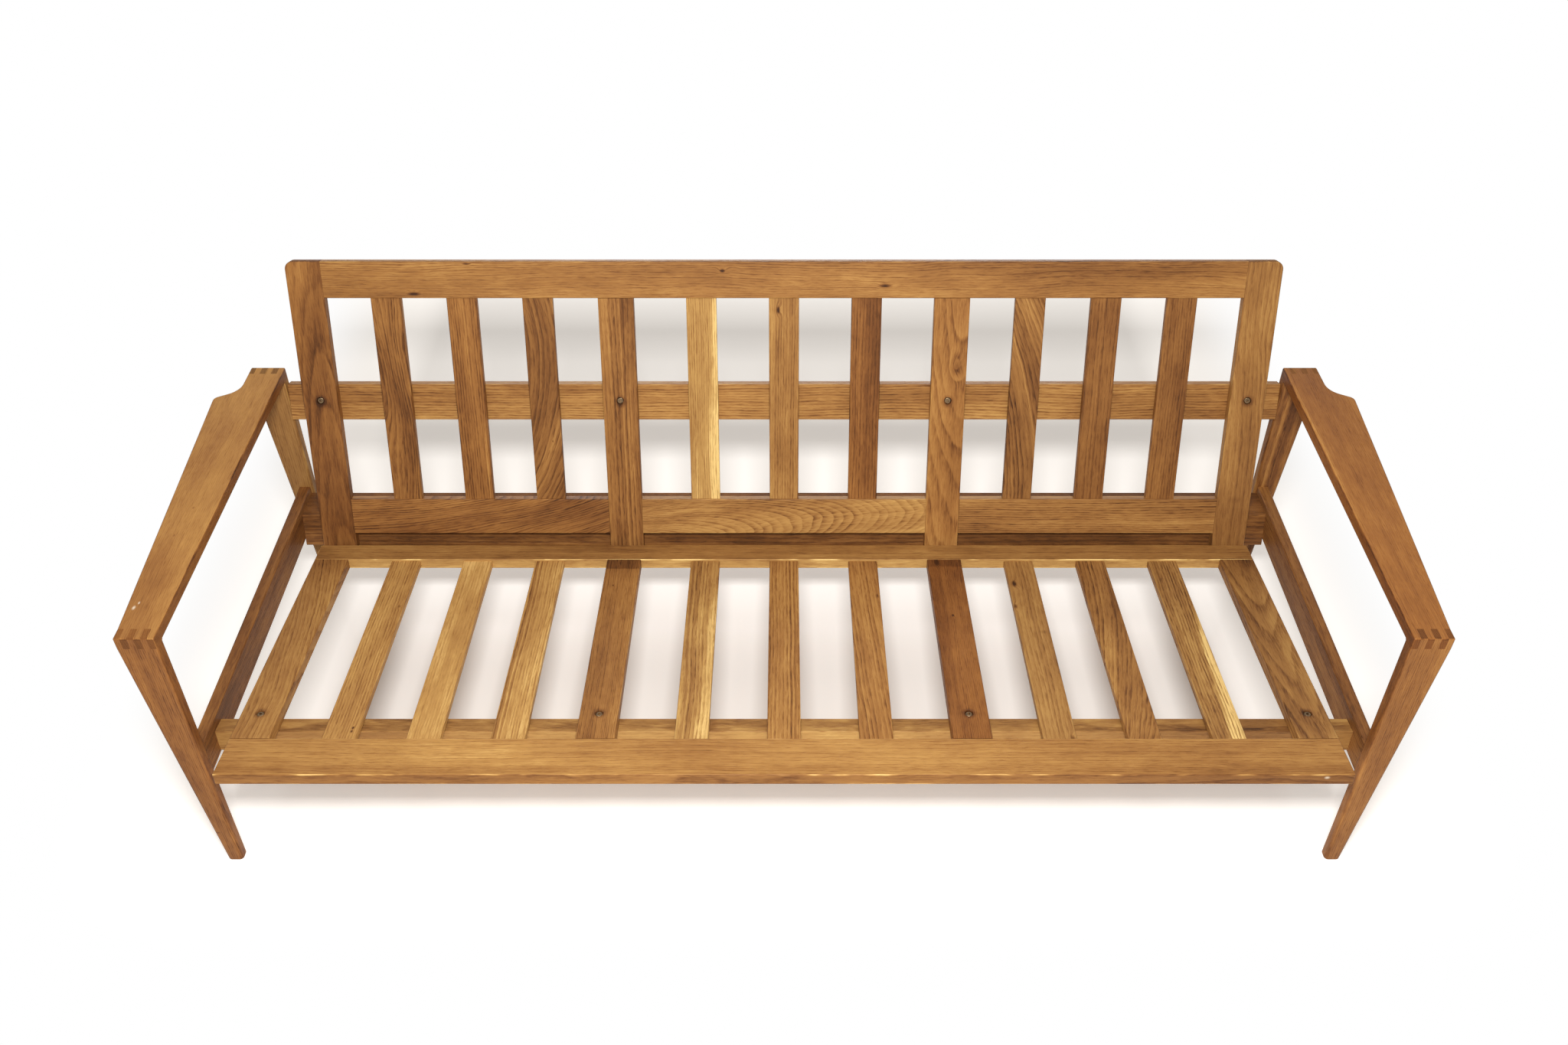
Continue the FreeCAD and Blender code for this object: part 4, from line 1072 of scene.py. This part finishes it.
def hang_lamps(scene, studio):
    """Two soft lamps overhead, left and right, one above the camera and a low one far behind."""
    sideways, forwards, upwards = OVERHEAD_WAY
    for name, side in {"lamp_left": -1, "lamp_right": 1}.items():
        lamp = bpy.data.lights.new(name, "SUN")
        lamp.energy = studio.overhead
        lamp.angle = studio.softness
        hang(scene, lamp, Vector((side * sideways, forwards, upwards)))
    front = panel_lamp("lamp_front", studio.front_length, studio.front_width, studio.front)
    hang(scene, front, Vector((0.0, -studio.front_distance, studio.front_height)))
    rear = panel_lamp("lamp_rear", studio.rear_length, studio.rear_width, studio.rear)
    hang(scene, rear, Vector((0.0, studio.rear_distance, studio.rear_height)))


def panel_lamp(name, length, width, power):
    lamp = bpy.data.lights.new(name, "AREA")
    lamp.shape = "RECTANGLE"
    lamp.size = length
    lamp.size_y = width
    lamp.energy = power
    return lamp


def hang(scene, lamp, place):
    """Hangs a lamp at a place, facing the object."""
    item = bpy.data.objects.new(lamp.name, lamp)
    item.location = place
    item.rotation_euler = place.to_track_quat("Z", "Y").to_euler()
    item.visible_camera = False
    scene.collection.objects.link(item)


def light_surroundings(scene, studio):
    """White where the camera, gloss or glass sees it, and a softer fill on the object."""
    world = bpy.data.worlds.new("studio")
    scene.world = world
    graph = Graph(world)
    fill = graph.add("ShaderNodeBackground", {}, {
        "Color": tuple(studio.fill_colour), "Strength": studio.fill})
    white = graph.add("ShaderNodeBackground", {}, {"Color": WHITE, "Strength": 1.0})
    shader = graph.add("ShaderNodeMixShader", {}, {0: seen_straight(graph), 1: fill, 2: white})
    graph.add("ShaderNodeOutputWorld", {}, {"Surface": shader})


def set_camera(scene, studio):
    lens = bpy.data.cameras.new("camera")
    lens.sensor_width = SENSOR_WIDTH
    lens.lens = studio.camera_focal / PHOTO_WIDTH * SENSOR_WIDTH
    camera = bpy.data.objects.new("camera", lens)
    place = Matrix.Translation((0.0, -studio.camera_distance, studio.camera_height))
    camera.matrix_world = place @ Matrix.Rotation(math.pi / 2.0 - studio.camera_pitch, 4, "X")
    scene.collection.objects.link(camera)
    scene.camera = camera


class SOFA_PT_panel(bpy.types.Panel):
    """Lists the sofa's steps and its settings."""

    bl_idname = "SOFA_PT_panel"
    bl_label = "Slatted Sofa"
    bl_space_type = "VIEW_3D"
    bl_region_type = "UI"
    bl_category = "Sofa"

    def draw(self, context):
        for step in STEPS:
            self.layout.operator(step.bl_idname)
        for settings in (context.scene.sofa_oak, context.scene.sofa_metal, context.scene.sofa_studio):
            box = self.layout.box()
            for name in settings.__annotations__:
                box.prop(settings, name)


STEPS = (SOFA_OT_arm_frames, SOFA_OT_cross_members, SOFA_OT_seat_frame, SOFA_OT_seat_slats,
         SOFA_OT_back_frame, SOFA_OT_back_slats, SOFA_OT_fasteners, SOFA_OT_stage)
SETTINGS = {"sofa_oak": SofaOak, "sofa_metal": SofaMetal, "sofa_studio": SofaStudio}
CLASSES = tuple(SETTINGS.values()) + STEPS + (SOFA_PT_panel,)


def register():
    for item in CLASSES:
        bpy.utils.register_class(item)
    for name, group in SETTINGS.items():
        setattr(bpy.types.Scene, name, PointerProperty(type=group))


def unregister():
    for name in SETTINGS:
        delattr(bpy.types.Scene, name)
    for item in reversed(CLASSES):
        bpy.utils.unregister_class(item)


def main():
    register()
    bpy.ops.sofa.arm_frames()
    bpy.ops.sofa.cross_members()
    bpy.ops.sofa.seat_frame()
    bpy.ops.sofa.seat_slats()
    bpy.ops.sofa.back_frame()
    bpy.ops.sofa.back_slats()
    bpy.ops.sofa.fasteners()
    bpy.ops.sofa.stage()


if __name__ == "__main__":
    main()
